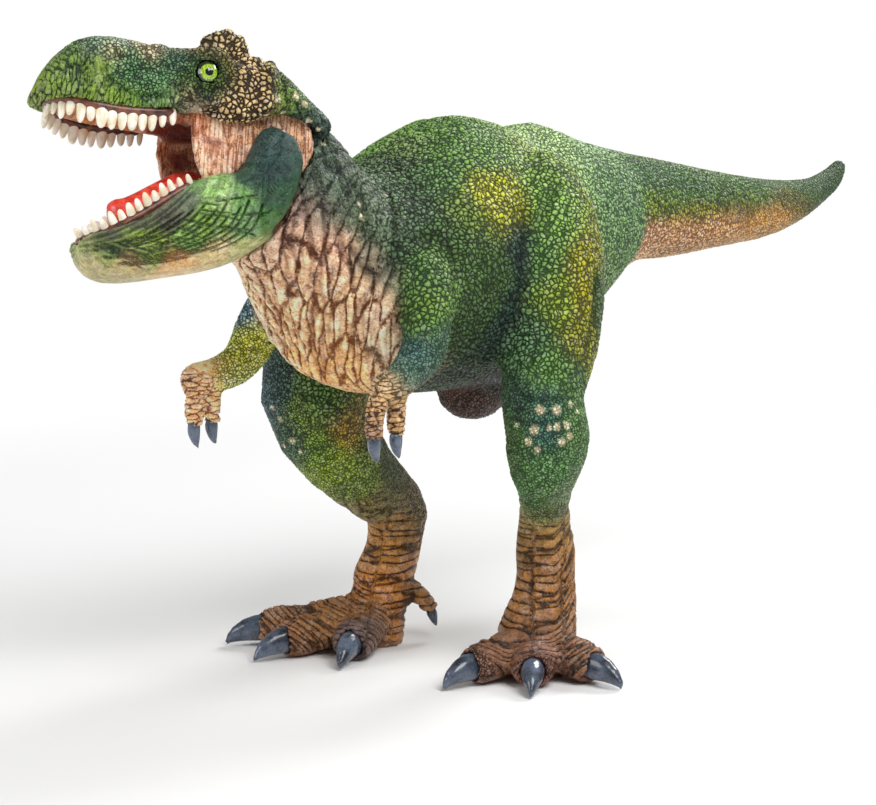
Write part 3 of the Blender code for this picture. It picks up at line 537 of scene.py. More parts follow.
def paintedSkin(name, look):
    material, net = newMaterial(name)
    restPlace, paintLow = net.attribute("restPlace", "Vector"), net.attribute("paintLow", "Color")
    masks = net.parts(net.attribute("grain", "Vector"))
    groove = net.attribute("groove", "Fac")
    reliefs = skinRelief(net, restPlace, net.attribute("foldPlace", "Vector"))
    gap = sum(((1.0 - relief) * mask * dark for relief, mask, dark in zip(reliefs, masks, look["gaps"])), 0.0)
    broad, fine, cool = (net.noise(restPlace, size, detail) for size, detail in look["noises"])
    cool = cool.between(0.45, 0.7)
    shade = net.cellShade(restPlace, reliefForm["scale"])
    lift = (broad - 0.5) * look["broad"] + (fine - 0.5) * look["fine"] + (shade - 0.5) * look["cell"]
    ridge = groove.maths("MAXIMUM", 0.0)
    sunk = groove.maths("MINIMUM", 0.0) * -1
    # tone: lighter on the tops of the cells and darker in their gaps, partly the figure's own dry-brushing and
    # dark wash, partly painted highlight on the tops and painted shade in the gaps; ridges are lightened as
    # painted highlight
    tone = (look["tone"] - gap * look["gap"] + lift + ridge * look["ridge"]).clamped()
    # a darker copy of the dark paint, as painted shade in the gaps
    low = net.mixed(1.0, paintLow, (*look["lowShade"], 1), "MULTIPLY")
    colour = net.mixed(tone, low, net.attribute("paintHigh", "Color"))
    colour = net.mixed(cool * look["cool"], colour, net.shifted(colour, 0.55, 1.12))
    # grooves and the deepest gaps run into a still darker copy of the dark paint: partly the figure's dark
    # wash, partly painted shade in the creases
    washAndShade = net.mixed(1.0, paintLow, (*look["washAndShade"], 1), "MULTIPLY")
    grooveShaded = net.mixed((sunk * look["sunk"]).clamped(), colour, washAndShade)
    deep = net.mixed((gap.between(0.5, 1.0) * look["deep"]).clamped(), grooveShaded, washAndShade)
    deep = net.shifted(deep, look["saturation"], look["value"])
    deep = net.vector("MINIMUM", {0: deep, 1: (0.9, 0.9, 0.9)})
    normal = net.bump(look["bump"], 0.4 * mm, gap * -0.5 + fine * look["fineBump"] - sunk * 0.6)
    rough = (fine - 0.5) * 0.25 + (gap * 0.2 + look["rough"])
    values = {"Base Color": deep, "Roughness": rough, "Normal": normal, "IOR": 1.45, "Specular IOR Level": 0.38}
    surfaceShader(net, values)
    return material


def plainFinish(name, look):
    material, net = newMaterial(name)
    place = net.ownPlace()
    stretched = net.vector("MULTIPLY", {0: place, 1: look.get("stretch", (1, 1, 1))})
    broad = net.noise(stretched, look["size"], 4.0)
    fine = net.noise(place, look["size"] / 6, 3.0)
    mix = (broad.between(0.3, 0.7) + (fine - 0.5) * 0.4).clamped()
    values = {
        "Base Color": net.mixed(mix, *(opaque(code) for code in look["colours"])),
        "Roughness": (fine - 0.5) * 0.2 + look["rough"],
        "Normal": net.bump(look["bump"], 0.15 * mm, broad + fine * 0.4),
        "Metallic": look.get("metal", 0.0),
        "Coat Weight": look.get("coat", 0.0),
    }
    surfaceShader(net, values)
    return material


def newPiece(name, mesh, body, nodes):
    mesh.name = name
    piece = inScene(name, mesh)
    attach(piece, body)
    if nodes:
        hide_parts(*nodes)
    print(name, len(mesh.polygons), "faces")


def closedPart(whole, keepFace, name):
    # the faces asked for, as a closed mesh with the whole's normals
    points, normals = getPoints(whole), getNormals(whole)
    loops = gathered(whole.loops, "vertex_index", 1, np.int32)
    starts, totals = (gathered(whole.polygons, field, 1, np.int32) for field in ("loop_start", "loop_total"))
    faces = [loops[s:s + t] for s, t in zip(starts[keepFace], totals[keepFace])]
    used = np.unique(np.concatenate(faces))
    place = np.full(len(points), -1)
    place[used] = np.arange(len(used))
    mesh = bpy.data.meshes.new(name)
    mesh.from_pydata(points[used].tolist(), [], [place[f].tolist() for f in faces])
    putAttributes(mesh, **{label: readAttribute(whole, label)[used] for label in skinAttributes})
    form = bmesh.new()
    form.from_mesh(mesh)
    border = [edge for edge in form.edges if edge.is_boundary]
    bmesh.ops.holes_fill(form, edges=border, sides=0)
    form.to_mesh(mesh)
    form.free()
    shadeSmooth(mesh)
    mesh.normals_split_custom_set_from_vertices(normals[used].tolist())
    for material in whole.materials:
        mesh.materials.append(material)
    return mesh


# the skin: trunk, tail, legs, arms and upper head in one surface, cut apart again at its end
skinNodes = ["torso", "tail", "left_leg", "right_leg", "left_arm", "right_arm", "upper_head"]
skinForm = {
    "voxel": 0.92 * mm,
    "grow": 0.2 * mm,
    "rounds": 4,
    "heights": {"Scale Height": 0.36 * mm, "Pebble Height": 0.25 * mm, "Fold Height": 0.55 * mm},
    # where two CAD pieces meet, which the mould blends: place in mm and radius in mm
    "seams": [
        ((18, -29, 88), 22), ((-26, -24, 84), 24), ((16.5, -69, 82), 12), ((-25.5, -69, 80), 12),
        ((-4.5, 16, 92), 20), ((-9.5, -86, 118), 14),
    ],
    "seamRounds": 24,
    "seamShare": 0.6,
    "seamEdge": 1.4,
    "paintRounds": 8,
    "sole": 2 * mm,  # no relief just above the ground
    "grooveDepth": 0.6,
}
spots = {
    "torso": {
        "pf": [
            (290, 100, "537025", "121d09"), (305, 130, "4c6450", "0e1a18"), (320, 160, "54684f", "101c18"),
            (335, 180, "5c7058", "141f18"), (340, 210, "6c7460", "20241a"), (310, 185, "5c6454", "161c16"),
            (345, 195, "5f7058", "16201a"),
        ],
        "sf": [(350, 175, "54684a", "101c12"), (380, 230, "64785a", "1c2818"), (360, 212, "5f7050", "18240f")],
        "s": [
            (370, 165, "5f7850", "16240f"), (400, 140, "86a05c", "2c4420"), (430, 130, "769e49", "2a4a18"),
            (450, 150, "709948", "284418"), (480, 150, "7b9f53", "2c4a1e"), (560, 150, "aac37f", "4a6a34"),
            (590, 160, "8eae6e", "3c5c30"), (610, 180, "75985d", "345232"), (490, 200, "c0c038", "535601"),
            (510, 195, "b3b736", "4d5100"), (470, 210, "7c9040", "2e4310"), (572, 172, "b5ba32", "505807"),
            (545, 180, "8eaa66", "3c5626"), (450, 240, "51703a", "1a2d0c"), (480, 260, "557538", "1b330c"),
            (500, 280, "4b6933", "162e0a"), (470, 320, "476635", "15290b"), (440, 180, "688e51", "263f1e"),
            (420, 210, "56724c", "1a2b1a"), (400, 190, "4c6840", "14240f"), (525, 250, "334e44", "081515"),
            (520, 300, "2f4941", "081313"), (500, 340, "385341", "0e1d1a"), (470, 370, "3c5435", "152213"),
            (500, 380, "444c44", "101613"), (440, 385, "3f503a", "162216"), (395, 255, "4c6c48", "14240f"),
        ],
        "f": [
            (372, 260, "8c7c66", "2c2418"), (395, 280, "7c7860", "28281a"), (310, 270, "ffcea5", "6f3f21"),
            (330, 250, "f1c1a0", "6f422d"), (300, 230, "e7bc9e", "573021"), (320, 215, "8c7e6c", "30241c"),
            (330, 330, "ffd4a0", "8a4e24"), (350, 300, "ffd2a3", "784827"), (375, 310, "ffd6b4", "78482d"),
            (350, 370, "fbc182", "874b18"), (390, 350, "ecceaa", "6f5139"), (283, 200, "e2c1a6", "573024"),
            (300, 215, "a08474", "38241c"),
        ],
        "p": [(470, 405, "6e564a", "2c1a14")],
    },
    "left_leg": {
        "s": [
            (560, 230, "8cb05a", "304f1f"), (540, 260, "759c54", "28461d"), (560, 300, "98ac42", "405409"),
            (583, 260, "a6a129", "4d4f05"), (585, 300, "a9a225", "4f4d04"), (580, 340, "97982f", "424606"),
            (600, 300, "52693f", "223a1b"), (605, 250, "5b7546", "294322"), (530, 340, "65885c", "1d391a"),
            (545, 370, "779e58", "30511f"), (575, 380, "658846", "28461d"),
        ],
        "p": [
            (520, 400, "547758", "1a3023"), (545, 410, "658d6a", "1f4035"), (545, 430, "54806e", "183530"),
            (575, 430, "698d4f", "28461f"), (515, 440, "618646", "213e16"), (545, 470, "75a363", "2c4d25"),
            (530, 500, "6d9759", "2c4d25"), (560, 500, "839963", "3f5735"), (548, 515, "838f59", "3f4927"),
            (480, 670, "936751", "312016"), (545, 668, "885646", "312016"), (600, 675, "9a674f", "312016"),
        ],
        "f": [
            (548, 535, "997745", "503417"), (548, 560, "946637", "36210c"), (540, 600, "9b6d42", "301b09"),
            (560, 600, "9e6d3d", "301b09"), (548, 625, "7a5233", "2a190b"), (500, 650, "7a563e", "251810"),
            (545, 650, "8a624e", "271a12"), (590, 650, "8a6246", "271a10"),
        ],
    },
    "right_leg": {
        # the far leg's spots are painted lighter, as painted light on a side the lamps leave in shade
        "p": [
            (275, 395, "5c7a6e", "16292e"), (300, 420, "8ca54b", "313f18"), (265, 400, "506e73", "16262e"),
            (290, 440, "5a785c", "1b3126"), (320, 450, "9bb950", "3b561b"), (345, 425, "c8a546", "644c16"),
            (335, 470, "afc34b", "516716"), (360, 480, "9baf50", "415623"), (375, 440, "738246", "313b1b"),
            (395, 470, "646e3b", "2b3618"), (415, 500, "847750", "3b311b"),
        ],
        "s": [(320, 400, "77984b", "26411b"), (340, 410, "718741", "263618")],
        "pf": [(390, 500, "777146", "393118"), (370, 510, "9f915a", "41371b")],
        "f": [
            (390, 550, "bd8649", "4b2b10"), (400, 530, "a17947", "3c2712"), (385, 590, "c27f3f", "4b280c"),
            (360, 610, "95663b", "462b11"), (410, 570, "aa7544", "412712"), (310, 630, "956945", "462b12"),
            (340, 620, "996c40", "462b13"), (290, 640, "95694a", "462b19"), (350, 640, "66534f", "2b2121"),
            (370, 620, "6a4b35", "2e1e18"), (425, 610, "956b40", "462b12"),
        ],
    },
    "left_arm": {
        "s": [(425, 285, "6c8c4c", "24401c"), (430, 300, "7c9c40", "2c4810"), (420, 325, "64883f", "24400f")],
        "p": [(415, 350, "56786c", "1c3a3c"), (440, 345, "587a5c", "203a2c"), (405, 372, "64806c", "2c4a3c")],
        "f": [
            (395, 385, "c4a880", "5c4428"), (378, 410, "c8a070", "4a2c14"), (395, 410, "c8a070", "4a2c14"),
            (372, 430, "a88060", "442814"),
        ],
    },
    "right_arm": {
        # the far arm's spots are painted much lighter, as painted light on an arm the lamps leave in shade
        "p": [
            (245, 310, "86a9b6", "1d3641"), (240, 350, "f9ff65", "6c731d"), (255, 345, "ffff66", "737a1c"),
            (225, 370, "fff392", "928640"), (240, 375, "ffff92", "677737"),
        ],
        "s": [(262, 320, "8cb6a1", "244138")],
        "n": [(205, 365, "ffd19e", "b67740")],
        "f": [
            (190, 380, "d8ac84", "5c391f"), (205, 385, "ffcb9c", "a76737"), (205, 403, "ffc292", "864f28"),
        ],
    },
    "tail": {
        "s": [
            (620, 170, "587c45", "2a4825"), (660, 180, "50733a", "23411f"), (700, 190, "507238", "23401c"),
            (750, 185, "567538", "264518"), (640, 200, "7a972a", "31470a"), (625, 215, "c0b236", "544c0d"),
            (660, 208, "829326", "334007"), (700, 212, "8e8d29", "3f3f06"), (640, 235, "e2b088", "8f5a3f"),
            (680, 230, "e2ae7d", "8f623f"), (720, 225, "e2b079", "8f623b"), (620, 250, "e2b08c", "8f5a45"),
            (722, 196, "5c7a38", "283f14"), (752, 200, "6c8238", "2f4414"), (680, 196, "64823c", "2c4818"),
        ],
        "p": [
            (800, 185, "4d6b32", "233a18"), (835, 175, "40602f", "1d3219"), (745, 208, "837828", "3f3307"),
            (790, 200, "77762a", "343109"), (770, 218, "e2aa5f", "8f622b"),
        ],
    },
    "upper_head": {
        "f": [
            (50, 75, "7d963b", "1b310f"), (42, 95, "839638", "18290d"), (65, 60, "748e38", "1f3616"),
            (60, 85, "859e43", "1f3616"), (75, 70, "658338", "16290f"), (85, 60, "748e3b", "1a3111"),
            (110, 95, "8ba543", "253d11"), (130, 103, "91b44b", "24401a"), (150, 106, "88ac4b", "24401a"),
            (172, 98, "69884f", "1c3018"), (165, 108, "91b05c", "24401a"),
        ],
        "n": [(100, 68, "869d40", "253a14"), (195, 108, "948474", "3c2c2c")],
        "p": [
            # the pale spots along the top of the snout are lighter partly as painted highlight
            (95, 45, "889e84", "34483a"), (75, 45, "809e65", "2c4428"), (120, 42, "93a388", "3c4c40"),
            (120, 70, "65915c", "143020"), (140, 75, "65915c", "143020"), (160, 75, "618d58", "122c1e"),
            (150, 92, "6e9a58", "183018"), (130, 56, "6e9665", "1c382a"), (180, 62, "54775c", "10241f"),
            (150, 49, "d3c296", "5c4c2c"), (115, 51, "c2bd8d", "4c4c30"),
            (170, 55, "588054", "142c1e"), (208, 100, "374640", "111919"), (190, 75, "5a7d2f", "172b09"),
            (205, 88, "50702c", "101c0a"), (220, 86, "5c7430", "141c0a"), (196, 60, "4c7038", "101c10"),
            (222, 72, "5c721f", "1b2b09"), (208, 60, "4e6a20", "162407"), (215, 55, "46571a", "182008"),
            (228, 60, "766d34", "2b230a"), (180, 104, "9a9a72", "343420"),
            (283, 84, "6c8c30", "14200c"),
        ],
        "h": [
            (222, 48, "cbb585", "372915"), (235, 42, "d5bb8a", "372915"), (205, 50, "c2ac7c", "332915"),
            (240, 60, "c2a371", "302311"), (250, 75, "d1b27b", "372715"), (262, 80, "d5b681", "372715"),
            (240, 90, "d5b684", "372715"), (262, 95, "daba85", "372715"), (230, 105, "e4c48e", "3d2a14"),
            (210, 112, "d5b68a", "37271b"), (190, 100, "baac7b", "30291b"), (250, 112, "dec089", "3d2a14"),
        ],
        "pf": [
            (286, 100, "708c30", "141f10"), (281, 118, "54703c", "101c14"), (278, 132, "4c6444", "101a18"),
            (296, 100, "68843c", "182410"), (300, 118, "506c50", "101f1c"), (312, 128, "486050", "101c1c"),
            (296, 136, "50684c", "101c18"), (268, 124, "54643c", "181c10"), (318, 142, "4c6454", "101c1c"),
        ],
    },
}
# how far a spot's paint reaches in mm, and how much each axis counts there
spotReach = {
    "torso": 5, "tail": 2.2, "upper_head": 2,
    "left_leg": 3.5, "right_leg": 3.5, "left_arm": 2.5, "right_arm": 2.5,
}
spotStretch = {"tail": (1, 0.2, 1), "left_leg": (1, 1, 0.8), "right_leg": (1, 1, 0.8)}
spotPlane = {"torso": trunkMiddle, "tail": trunkMiddle, "upper_head": headMiddle}

skin = voxelSkin(skinNodes, skinForm["voxel"], skinForm["grow"], skinForm["rounds"])
points, edges = getPoints(skin), getEdges(skin)
seamWeight = np.zeros(len(points))
for place, radius in skinForm["seams"]:
    far = np.linalg.norm(points - np.array(place) * mm, axis=1) / (radius * mm)
    seamWeight = np.maximum(seamWeight, np.clip(skinForm["seamEdge"] * (1 - far), 0, 1))
points = smoothed(points, edges, skinForm["seamRounds"], skinForm["seamShare"], seamWeight)
points[:, 2] = np.maximum(points[:, 2], cadCorners[0].z)
setPoints(skin, points)
print("skin surface", len(points), "points")

skinSurface = surfaceOf(skin)
nodeSurfaces = [surfaceOf(frame["nodes"][name].data) for name in skinNodes]
nodeFar = np.array([[tree.find_nearest(Vector(p))[3] for tree in nodeSurfaces] for p in points])
region = nodeFar.argmin(1)
lightPaint, darkPaint, grain = np.zeros_like(points), np.zeros_like(points), np.zeros_like(points)
for i, name in enumerate(skinNodes):
    found = spotPlaces(skinSurface, spots[name], spotPlane.get(name))
    if name == "right_leg":
        # its outer side, which the photo hides, is painted like the left leg's
        upper = {kind: [spot for spot in rows if spot[1] < 450] for kind, rows in spots["left_leg"].items()}
        outer = spotPlaces(skinSurface, upper, trunkMiddle)
        found = [np.concatenate([shown, other[1::2]]) for shown, other in zip(found, outer)]
    places, lights, darks, reliefs = found
    own = region == i
    reach = spotReach[name] * mm
    stretch = np.array(spotStretch.get(name, (1, 1, 1)))
    lightPaint[own], darkPaint[own], grain[own] = (
        spotBlend(points[own] * stretch, places * stretch, values, reach) for values in (lights, darks, reliefs)
    )
lightPaint, darkPaint, grain = (
    smoothed(values, edges, skinForm["paintRounds"]) for values in (lightPaint, darkPaint, grain)
)
grain *= np.clip((points[:, 2] - cadCorners[0].z) / skinForm["sole"], 0, 1)[:, None]
print("paint laid on")

# how far a fold reaches in mm, each way along its piece
foldForm = {
    "head": (0.7, 2.4, 3.2),
    "lining": (0.8, 3, 9),
    "arm": (3, 3, 0.95),
    "chest": {
        "middle": (-5, -50), "radius": 25, "wide": 1.9, "tall": 9.5, "lean": 0.3, "level": 75, "front": 30,
    },
    "leg": {"tall": 1.8, "pixel": 0.014, "column": 4.3, "ankle": 8, "level": 25},
    "layer": 0.25,
}
# bands across the legs, in columns that part at two lines of the photo
legColumns = {
    "left_leg": {"ankle": (19, -42), "lean": 0, "lines": (533, 563)},
    "right_leg": {"ankle": (-20, -36), "lean": -1.0, "lines": (366, 386)},
}
headAhead = np.array((-0.452, -0.874, 0.178))
headUp = np.array((-0.145, 0.269, 0.952))


def alongHead(places, reach):
    ways = (headAhead, np.array(headMiddle[1]), headUp)
    return np.stack([places @ way / size for way, size in zip(ways, reach)], 1)


def chestFolds(inMm):
    form = foldForm["chest"]
    x, y = form["middle"]
    girth = np.arctan2(inMm[:, 0] - x, -(inMm[:, 1] - y)) * form["radius"]
    forward = 1 - np.clip(girth / form["front"], 0, 1)
    girth -= (inMm[:, 2] - form["level"]) * form["lean"] * forward  # so that they hang straight down in front
    return girth / form["wide"], inMm[:, 2] / form["tall"]


def legFolds(inMm, column):
    form = foldForm["leg"]
    aside = np.linalg.norm(inMm[:, :2] - column["ankle"], axis=1)
    seen = inMm * mm - np.array(cameraPlace)
    px = photoView["width"] / 2 + focalPixels * (seen @ np.array(rightward)) / (seen @ -np.array(backward))
    px += column["lean"] * (inMm[:, 2] - form["level"])
    row = sum((px > line).astype(float) for line in column["lines"])
    height = inMm[:, 2] - np.maximum(aside - form["ankle"], 0)
    return px * form["pixel"] + row * form["column"], height / form["tall"]


foldPlace = points / mm
for i, name in enumerate(skinNodes):
    own = region == i
    inMm = foldPlace[own]
    if name == "upper_head":
        foldPlace[own] = alongHead(inMm, foldForm["head"])
    elif name == "torso" or name in legColumns:
        aside, down = chestFolds(inMm) if name == "torso" else legFolds(inMm, legColumns[name])
        foldPlace[own] = np.stack([aside, down, np.full(len(inMm), foldForm["layer"])], 1)
    elif name.endswith("arm"):
        foldPlace[own] = inMm / foldForm["arm"]

putAttributes(skin, paintHigh=lightPaint, paintLow=darkPaint, grain=grain, foldPlace=foldPlace)
nodeOfFace = skin.attributes.new("nodeOfFace", "INT", "FACE")
firstCorner = gathered(skin.polygons, "vertices", 4, np.int32)[:, 0]
nodeOfFace.data.foreach_set("value", region[firstCorner].astype(np.int32))
skin = subdivided(skin)
points = getPoints(skin)
print("finer skin", len(points), "points")

# grooves (below 0) and ridges drawn over the photo: width in mm, depth, then lines of pixels
strokes = {
    "torso": [
        (0.75, -1.0,
            [(287, 222), (281, 243), (287, 263), (285, 284), (291, 299)],
            [(295, 215), (291, 243), (296, 263), (300, 279)],
        ),
        (0.9, -1.0,
            [
                (304, 202), (307, 222), (311, 243), (313, 263), (308, 289), (317, 309), (309, 330), (314, 355),
                (324, 376),
            ],
        ),
        (0.83, -1.0,
            [(324, 207), (325, 233), (324, 258), (319, 284), (324, 304), (322, 330), (323, 355), (329, 381)],
            [(334, 222), (342, 243), (347, 263), (352, 279), (337, 299), (329, 325), (328, 345)],
            [(347, 243), (360, 266), (373, 284), (360, 304), (352, 330), (352, 355)],
            [(393, 238), (396, 253), (383, 273), (368, 294), (362, 317), (365, 345), (368, 365)],
            [(403, 294), (398, 314), (393, 335)],
        ),
        (0.83, -0.9,
            [(360, 197), (368, 222), (375, 243)], [(383, 184), (393, 207), (396, 238)],
            [(339, 164), (342, 182), (352, 202)],
        ),
        (0.9, -0.9,
            [(309, 146), (317, 176), (324, 202)], [(319, 133), (327, 159), (334, 176)],
        ),
        (1.3, -0.7, [(523, 189), (526, 228), (524, 266), (521, 299), (510, 330)]),
        (1.2, -0.8, [(449, 248), (454, 279), (452, 317), (444, 342)]),
        (0.9, -0.8, [(403, 243), (419, 235), (439, 238), (452, 253)]),
        (0.68, -0.7,
            [(301, 300), (309, 313), (305, 330), (312, 350)], [(338, 300), (341, 320), (338, 345), (342, 370)],
            [(378, 300), (374, 325), (380, 350), (377, 372)],
        ),
        (0.45, -0.75,
            [(279, 70), (286, 92), (289, 115)], [(274, 120), (280, 140), (287, 160)],
            [(290, 92), (299, 112), (303, 135)], [(286, 135), (296, 158), (303, 182)],
            [(299, 100), (309, 120), (315, 142)], [(308, 118), (318, 138), (324, 158), (330, 178)],
            [(296, 180), (303, 200), (304, 222)], [(310, 165), (316, 187), (318, 208)],
            [(322, 135), (332, 152), (338, 168)], [(335, 170), (345, 188), (352, 210)],
            [(330, 200), (334, 222), (338, 243)], [(350, 178), (358, 198), (366, 215)],
            [(300, 235), (303, 260), (305, 282)], [(320, 260), (316, 290), (320, 318)],
            [(333, 262), (330, 290), (334, 315)], [(346, 285), (343, 310), (340, 335), (342, 362)],
            [(366, 295), (360, 320), (357, 345), (359, 370)], [(386, 285), (380, 305), (372, 325), (371, 350)],
            [(398, 262), (390, 280), (384, 300)], [(334, 335), (336, 360), (344, 380)],
            [(312, 330), (318, 350), (326, 368)], [(389, 322), (386, 345), (388, 368)],
            [(404, 300), (402, 320), (397, 342)],
        ),
    ],
    "left_leg": [
        (1.3, -1.2, [(597, 266), (595, 304), (589, 342), (582, 368)]),
        (1.2, -0.8, [(556, 184), (546, 207), (536, 228)]),
        (1.0, -0.9, [(515, 393), (541, 402), (569, 396)]),
        (0.9, -0.9, [(509, 418), (534, 425), (566, 418)]),
        (0.8, -0.7,
            [(525, 444), (541, 453), (557, 453)], [(512, 408), (540, 415), (570, 408)],
        ),
        (0.9, -0.8,
            [(531, 548), (531, 580), (530, 611)], [(561, 575), (561, 600), (562, 621)],
        ),
    ],
    "upper_head": [
        (0.8, -0.6, [(102, 56), (106, 76), (122, 90), (142, 99), (163, 97), (179, 88), (187, 76)]),
        (0.6, -0.5, [(187, 88), (200, 95), (214, 92), (226, 84)]),
        (0.5, -0.5, [(190, 84), (198, 90), (210, 91), (222, 84), (229, 74)]),
        (0.5, -0.4,
            [(192, 70), (198, 61), (208, 56), (220, 58), (226, 66)],
            [(197, 56), (208, 51), (222, 54), (229, 62)],
        ),
    ],
}


def shortWrinkles(count, corner, size, reach, spread, lean, bend):
    # lines scattered over a rectangle of the photo
    lines = []
    for i in range(count):
        px, py = corner[0] + (i * 0.618 % 1) * size[0], corner[1] + (i * 0.755 % 1) * size[1]
        out, down = reach + spread * abs(math.sin(i * 1.7)), lean * math.sin(i * 2.3)
        lines.append([(px - out, py - down), (px, py + bend), (px + out, py + down)])
    return lines


# short wrinkles across the folds of the chest, not on the neck behind them
chestWrinkles = {
    "corner": (292, 205), "size": (112, 168), "reach": 2.5, "spread": 2.5, "lean": 2.2, "bend": 0.8,
}
neckEdge = {"top": 190, "slope": 0.9, "front": 285, "middle": 330, "back": 300, "low": 260}
for line in shortWrinkles(90, **chestWrinkles):
    px, py = line[1][0], line[1][1] - chestWrinkles["bend"]
    edge = (py - neckEdge["top"]) * neckEdge["slope"]
    upper = px - neckEdge["front"] > edge and px < neckEdge["middle"]
    if not upper and not (px > neckEdge["back"] + edge and py < neckEdge["low"]):
        strokes["torso"].append((0.3, -0.7, line))
# lips: short upright grooves along the lip
lipLine = [
    (43, 96), (52, 88), (64, 88), (78, 92), (92, 98), (108, 104), (125, 107), (142, 108), (158, 107),
    (172, 104),
]
for i, (px, py) in enumerate(curveThrough(lipLine, 3.6)):
    reach = 6 + 3 * math.sin(i * 2.3)
    strokes["upper_head"].append((0.28, -0.8, [(px, py - 1), (px + 0.8 + math.sin(i * 1.7), py - reach)]))
# rings of the eyelids
for i, wide in enumerate((11.5, 14.5, 17.5, 21)):
    turns = [math.radians(a) for a in range(20 + 8 * i, 340 - 8 * i, 30)]
    ring = [(208.5 - wide * math.cos(a), 70.5 - 0.85 * wide * math.sin(a)) for a in turns]
    strokes["upper_head"].append((0.35, -0.9 + 0.1 * i, ring))
# wrinkles of the snout
strokes["upper_head"].append((
    0.35, -0.7, [(72, 52), (80, 58), (84, 68), (82, 80)], [(80, 50), (90, 56), (95, 66), (93, 80)],
    [(66, 60), (72, 68), (72, 80)], [(58, 66), (62, 74), (60, 84)], [(98, 78), (104, 88), (112, 95)],
    [(90, 82), (98, 92), (106, 98)], [(50, 72), (52, 80), (49, 88)],
))
# the head's forms: width and rise in mm
sculpt = [
    (1.0, 0.7, [(104, 53), (125, 50), (150, 48), (175, 47), (194, 47)]),
    (1.8, 1.0, [(194, 47), (206, 42), (222, 36), (236, 34), (241, 46), (244, 58)]),
    (1.3, 1.0, [(246, 60), (257, 62), (268, 61), (272, 74), (270, 90), (271, 106)]),
    (1.2, 0.6, [(248, 66), (247, 84), (240, 98), (225, 104), (205, 106)]),
    (1.5, 0.7, [
        (44, 93), (55, 85), (70, 86), (85, 92), (105, 100), (125, 104), (150, 104), (172, 100), (186, 94),
    ]),
    (1.0, 0.5, [(98, 54), (101, 76), (118, 92), (140, 101), (163, 99), (180, 90)]),
    (2.5, 0.6, [(72, 46), (95, 41), (118, 43)]),
    (1.4, -0.9, [(188, 62), (188, 78), (198, 90), (214, 92), (229, 84), (233, 70)]),
    (1.2, 0.9, [(193, 56), (206, 51), (220, 53), (230, 62)]),
    (2.6, -0.6, [(120, 66), (140, 72), (160, 74)]),
    (0.9, -0.5, [(104, 57), (107, 76), (122, 89), (142, 96), (162, 94), (178, 85)]),
    (1.0, -0.8, [(176, 106), (190, 104), (206, 110), (222, 118)]),
]
# pale flecks: pixel and radius in mm
fleckForm = {"reach": 1.3, "edge": 2.6, "paints": (("f0e8c8", 1.0), ("c8b890", 0.8))}
flecks = [
    (540, 410, 0.9), (557, 410, 0.9), (571, 404, 0.5), (534, 430, 0.9), (549, 428, 0.5), (557, 427, 0.7),
    (567, 425, 0.7), (516, 425, 0.4), (528, 442, 0.8), (562, 442, 0.8), (570, 436, 0.7), (537, 450, 0.7),
    (578, 412, 0.4), (278, 99, 0.55), (283, 113, 0.5), (309, 122, 0.6), (318, 130, 0.5), (305, 104, 0.6),
    (296, 96, 0.6), (325, 142, 0.5), (280, 420, 0.6), (292, 441, 0.7), (272, 408, 0.6), (300, 452, 0.5),
    (265, 415, 0.5), (284, 446, 0.5), (360, 204, 0.5), (362, 216, 0.55), (386, 193, 0.4),
]
tree, fineSurface = nearTree(points), surfaceOf(skin)
rise = strokeMarks(points, tree, fineSurface, sculpt, plane=headMiddle)
light, dark = readAttribute(skin, "paintHigh"), readAttribute(skin, "paintLow")
for px, py, wide in flecks:
    place = fineSurface.ray_cast(cameraPlace, photoRay(px, py))[0]
    if place is None:
        continue
    reach = wide * fleckForm["reach"] * mm
    for _, index, far in tree.find_range(place, reach):
        cover = min(1.0, fleckForm["edge"] * (1 - far / reach))
        for paint, (code, share) in zip((light, dark), fleckForm["paints"]):
            paint[index] += cover * share * (np.array(linear(code)) - paint[index])
groove = np.zeros(len(points))
for name, lines in strokes.items():
    marks = strokeMarks(points, tree, fineSurface, lines, plane=spotPlane.get(name))
    groove = np.where(np.abs(marks) > np.abs(groove), marks, groove)
putAttributes(skin, paintHigh=light, paintLow=dark, groove=groove, restPlace=points)
setPoints(skin, points + getNormals(skin) * (groove * skinForm["grooveDepth"] + rise)[:, None] * mm)
print("grooves drawn")

# the darkening of gaps and grooves set here is partly the figure's dark wash and partly painted shade, and the
# lighter tops partly painted highlight
skinFinish = paintedSkin("Painted skin", {
    "tone": 0.62, "gap": 0.85, "gaps": (1.0, 0.9, 0.75), "broad": 0.5, "fine": 1.5, "cell": 0.5, "ridge": 0.3,
    "sunk": 0.55, "cool": 0.5, "lowShade": (0.6, 0.6, 0.55), "washAndShade": (0.45, 0.45, 0.45), "deep": 0.7,
    "bump": 1.0, "fineBump": 0.8, "rough": 0.32, "saturation": 1.03, "value": 1.65,
    "noises": ((9.0 * mm, 4.0), (0.4 * mm, 3.0), (2.2 * mm, 3.0)),
})
relief = scalySkinTree("scalySkin", skinForm["heights"], skinFinish)
skin = throughTree(skin, relief, skinForm["heights"])
skin.materials.clear()
skin.materials.append(skinFinish)
points = getPoints(skin)
points[:, 2] = np.maximum(points[:, 2], cadCorners[0].z)
setPoints(skin, points)
ownNode = gathered(skin.attributes["nodeOfFace"].data, "value", 1, np.int32)
for i, name in enumerate(skinNodes):
    piece = closedPart(skin, np.flatnonzero(ownNode == i), name + "Skin")
    newPiece(name + "Skin", piece, "figure", [name])

